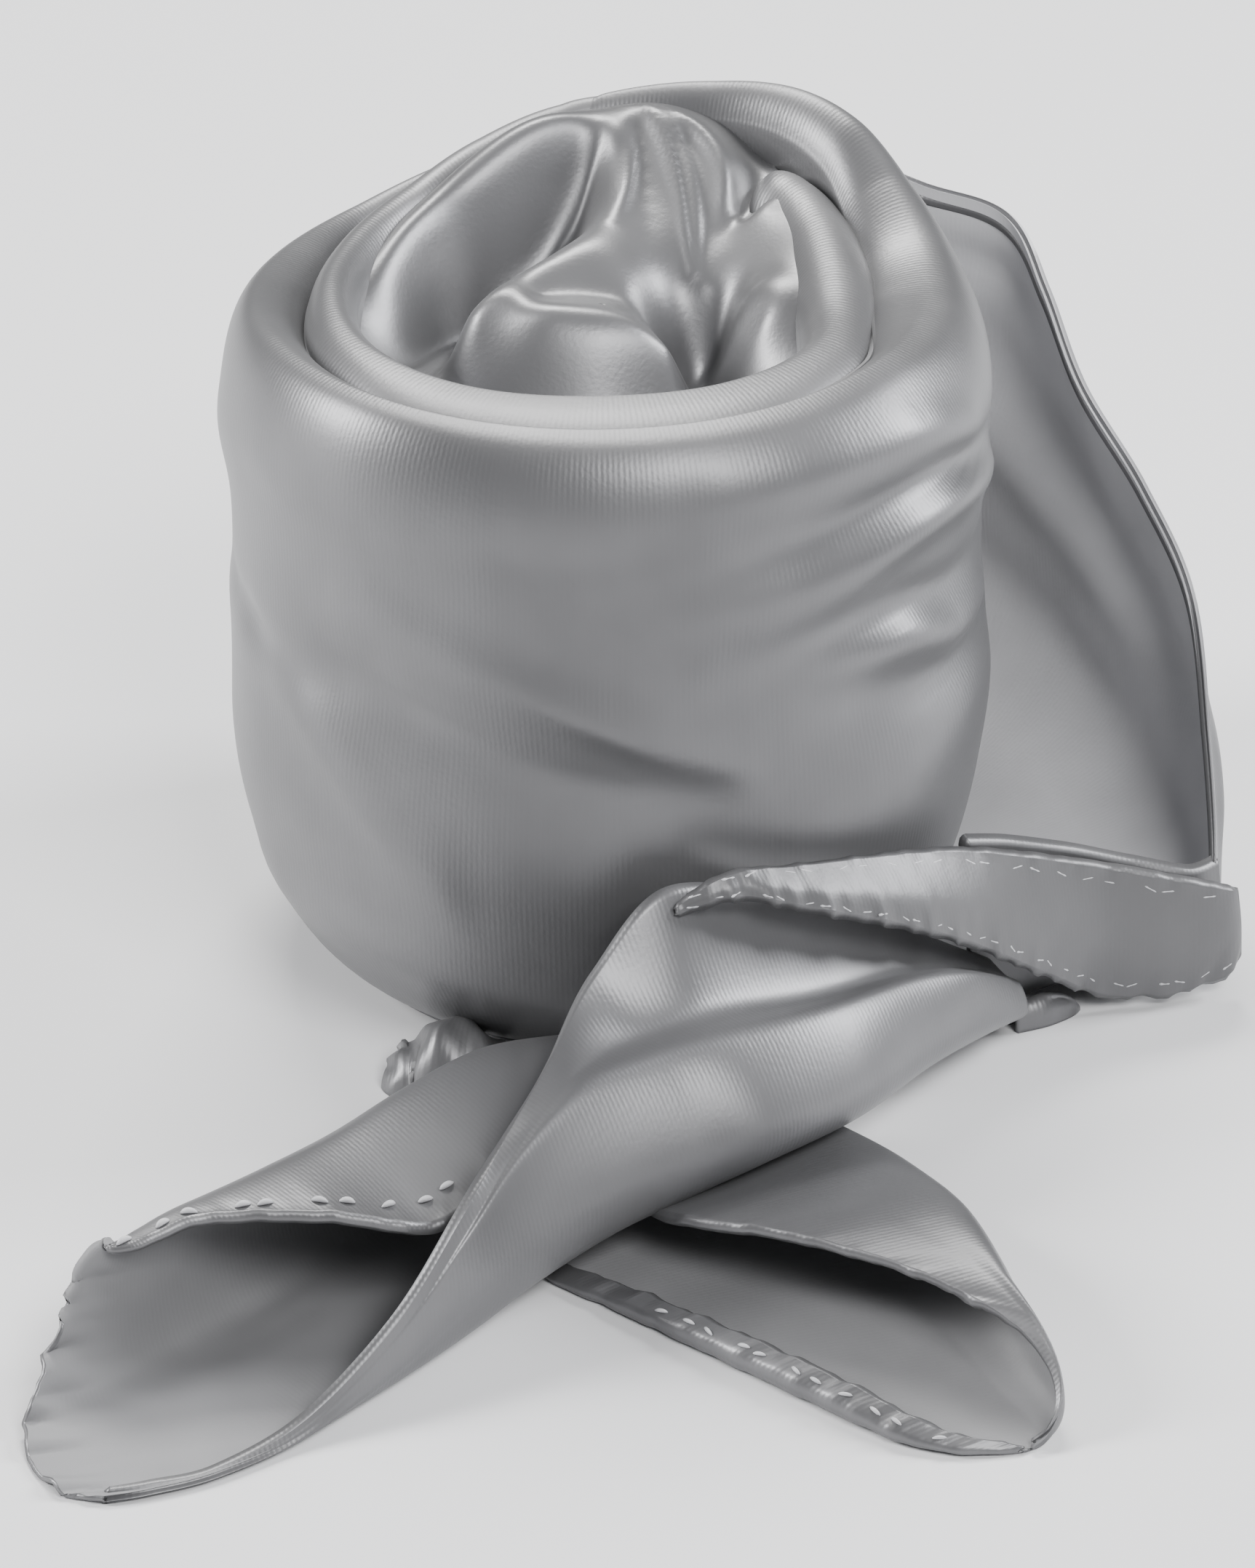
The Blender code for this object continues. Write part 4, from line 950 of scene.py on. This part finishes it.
def rear_tail():
    row = refined(REAR_TAIL, 17)
    dx = row["right_x"] - row["left_x"]
    dy = row["right_y"] - row["left_y"]
    width = np.hypot(dx, dy)
    flap, rise, strip = row["flap"], row["rise"], row["strip"]
    fold = np.minimum(flap, 5.0)
    small = np.minimum(width, 6.0) / 6.0
    controls = [
        (1.9 * small, strip),
        (0.3 * small, strip * 0.75),
        (0.1 * small, strip * 0.3),
        (1.4 * small, 0 * width + FLOOR),
        (width * 0.4, 0 * width + FLOOR),
        (width * 0.8, 0 * width + FLOOR),
        (width - 0.4 * small, rise * 0.22),
        (width, rise * 0.6),
        (width - 0.2 * fold, rise),
        (width - 0.5 * flap, rise + 0.1),
        (width - flap, rise - 0.3),
    ]
    line = lines_through(controls, 16)
    grid = across_placed(row["left_x"], row["left_y"], np.arctan2(dy, dx), line)
    calm = (small * smoothstep(0.6, 4.0, flap))[:, None]
    strip_share = (small * smoothstep(0.5, 1.8, strip))[:, None]
    grid = crumple(grid, 1.0, 0.10 * strip_share, at_left, 3.2, 0.9)
    grid = crumple(grid, 1.0, 0.12 * calm, at_end, 2.4, 2.0)
    grid = crumple(grid, 1.0, 0.04 * calm, at_right, 1.2, 1.7)
    grid[..., 2] = np.maximum(grid[..., 2], FLOOR)
    near_bead = hem_bead(line.shape[1], "start", 0.05, 0.5)[None, :] * strip_share
    far_bead = hem_bead(line.shape[1], "end", 0.05, 0.5)[None, :] * calm
    shown = slice(44, 128)
    course, out = grid[shown, 10], -normals_of(grid)[shown, 10]
    threads = [stitches("rear_hem_threads", course, out, 2.4, length=1.0)]
    cloth(
        "rear_tail_satin", grid, SATIN, thick=THIN * (0.6 + 0.4 * calm) + near_bead + far_bead,
        nodes=("rear_tail",), flat=(0.043, 0.038), held="laid", rests=("front_tail_satin",),
        with_pieces=threads,
    )


def tuck(name, rows, node, flat=None, dent=0.0):
    """A small fold of cloth poking out at the foot; dent is how deep its creases are."""
    row = refined(rows, 16)
    angle = headings(row["x"], row["y"]) + math.pi / 2
    t = np.linspace(0, math.pi, 41)
    out, up = row["half"][:, None] * np.cos(t), row["rise"][:, None] * np.sin(t) ** 0.8
    line = np.stack([out, FLOOR + up], -1)
    grid = across_placed(row["x"], row["y"], angle, line)
    run = lengths_of(grid, 0)
    crease = np.sin(0.8 * run + 1.4 * t) + 0.45 * np.sin(1.5 * run - 2.2 * t + 1.0)
    crease = crease + 0.08 * np.sin(3.4 * run + 4.0 * t)
    grid = pushed(grid, -dent * crease * np.sin(t) ** 0.6)
    grid[..., 2] = np.maximum(grid[..., 2], FLOOR)
    return cloth(name, grid, SATIN, nodes=(node,), flat=flat, rests=("bud_wall",))


bud_wall()
inner_roll()
crown()
foot()
side_sweep()
front_hem([tuck("right_tuck_satin", RIGHT_TUCK, "right_tuck")])
hem_flap()
front_tail()
rear_tail()
tuck("left_tuck_satin", LEFT_TUCK, "left_tuck", (0.0125, 0.0115), dent=0.3)


# Stage

def floor():
    half = 3.0
    mesh = bpy.data.meshes.new("floor")
    corners = [(-half, -half, 0), (half, -half, 0), (half, half, 0), (-half, half, 0)]
    mesh.from_pydata(corners, [], [(0, 1, 2, 3)])
    mat = bpy.data.materials.new("pale_floor")
    mat.use_nodes = True
    shader = mat.node_tree.nodes["Principled BSDF"]
    shader.inputs["Base Color"].default_value = (0.72, 0.72, 0.73, 1)
    shader.inputs["Roughness"].default_value = 0.8
    mesh.materials.append(mat)
    plane = bpy.data.objects.new("floor", mesh)
    bpy.context.scene.collection.objects.link(plane)


def area_light(name, place, target, size, power, colour=(1, 1, 1)):
    light = bpy.data.lights.new(name, "AREA")
    light.shape = "RECTANGLE"
    light.size, light.size_y = size
    light.energy = power
    light.color = colour
    lamp = bpy.data.objects.new(name, light)
    lamp.location = place
    lamp.rotation_euler = (Vector(target) - Vector(place)).to_track_quat("-Z", "Y").to_euler()
    bpy.context.scene.collection.objects.link(lamp)


def camera():
    data = bpy.data.cameras.new("camera")
    data.sensor_width = 36.0
    data.lens = 122.06
    data.clip_start, data.clip_end = 0.01, 20.0
    cam = bpy.data.objects.new("camera", data)
    elevation = math.radians(31.0)
    target = Vector((0.0019, 0.0, 0.012))
    back = Vector((0.0, -math.cos(elevation), math.sin(elevation)))
    cam.location = target + back * 0.430
    cam.rotation_euler = (-back).to_track_quat("-Z", "Y").to_euler()
    bpy.context.scene.collection.objects.link(cam)
    bpy.context.scene.camera = cam


def world():
    sky = bpy.data.worlds.new("studio")
    sky.use_nodes = True
    background = sky.node_tree.nodes["Background"]
    background.inputs["Color"].default_value = (0.93, 0.95, 1.0, 1)
    background.inputs["Strength"].default_value = 0.2
    bpy.context.scene.world = sky


floor()
camera()
world()
centre = (0.0, 0.0, 0.03)
area_light("right_window", (0.55, 0.14, 0.36), centre, (0.18, 0.30), 5.5, (0.97, 0.98, 1.0))
area_light("back_softbox", (-0.06, 0.46, 0.66), centre, (0.36, 0.18), 6.5, (1.0, 0.995, 0.97))
area_light("left_window", (-0.62, -0.02, 0.36), centre, (0.16, 0.30), 6.5)
area_light("front_fill", (0.26, -0.48, 0.60), centre, (0.36, 0.26), 5.5)
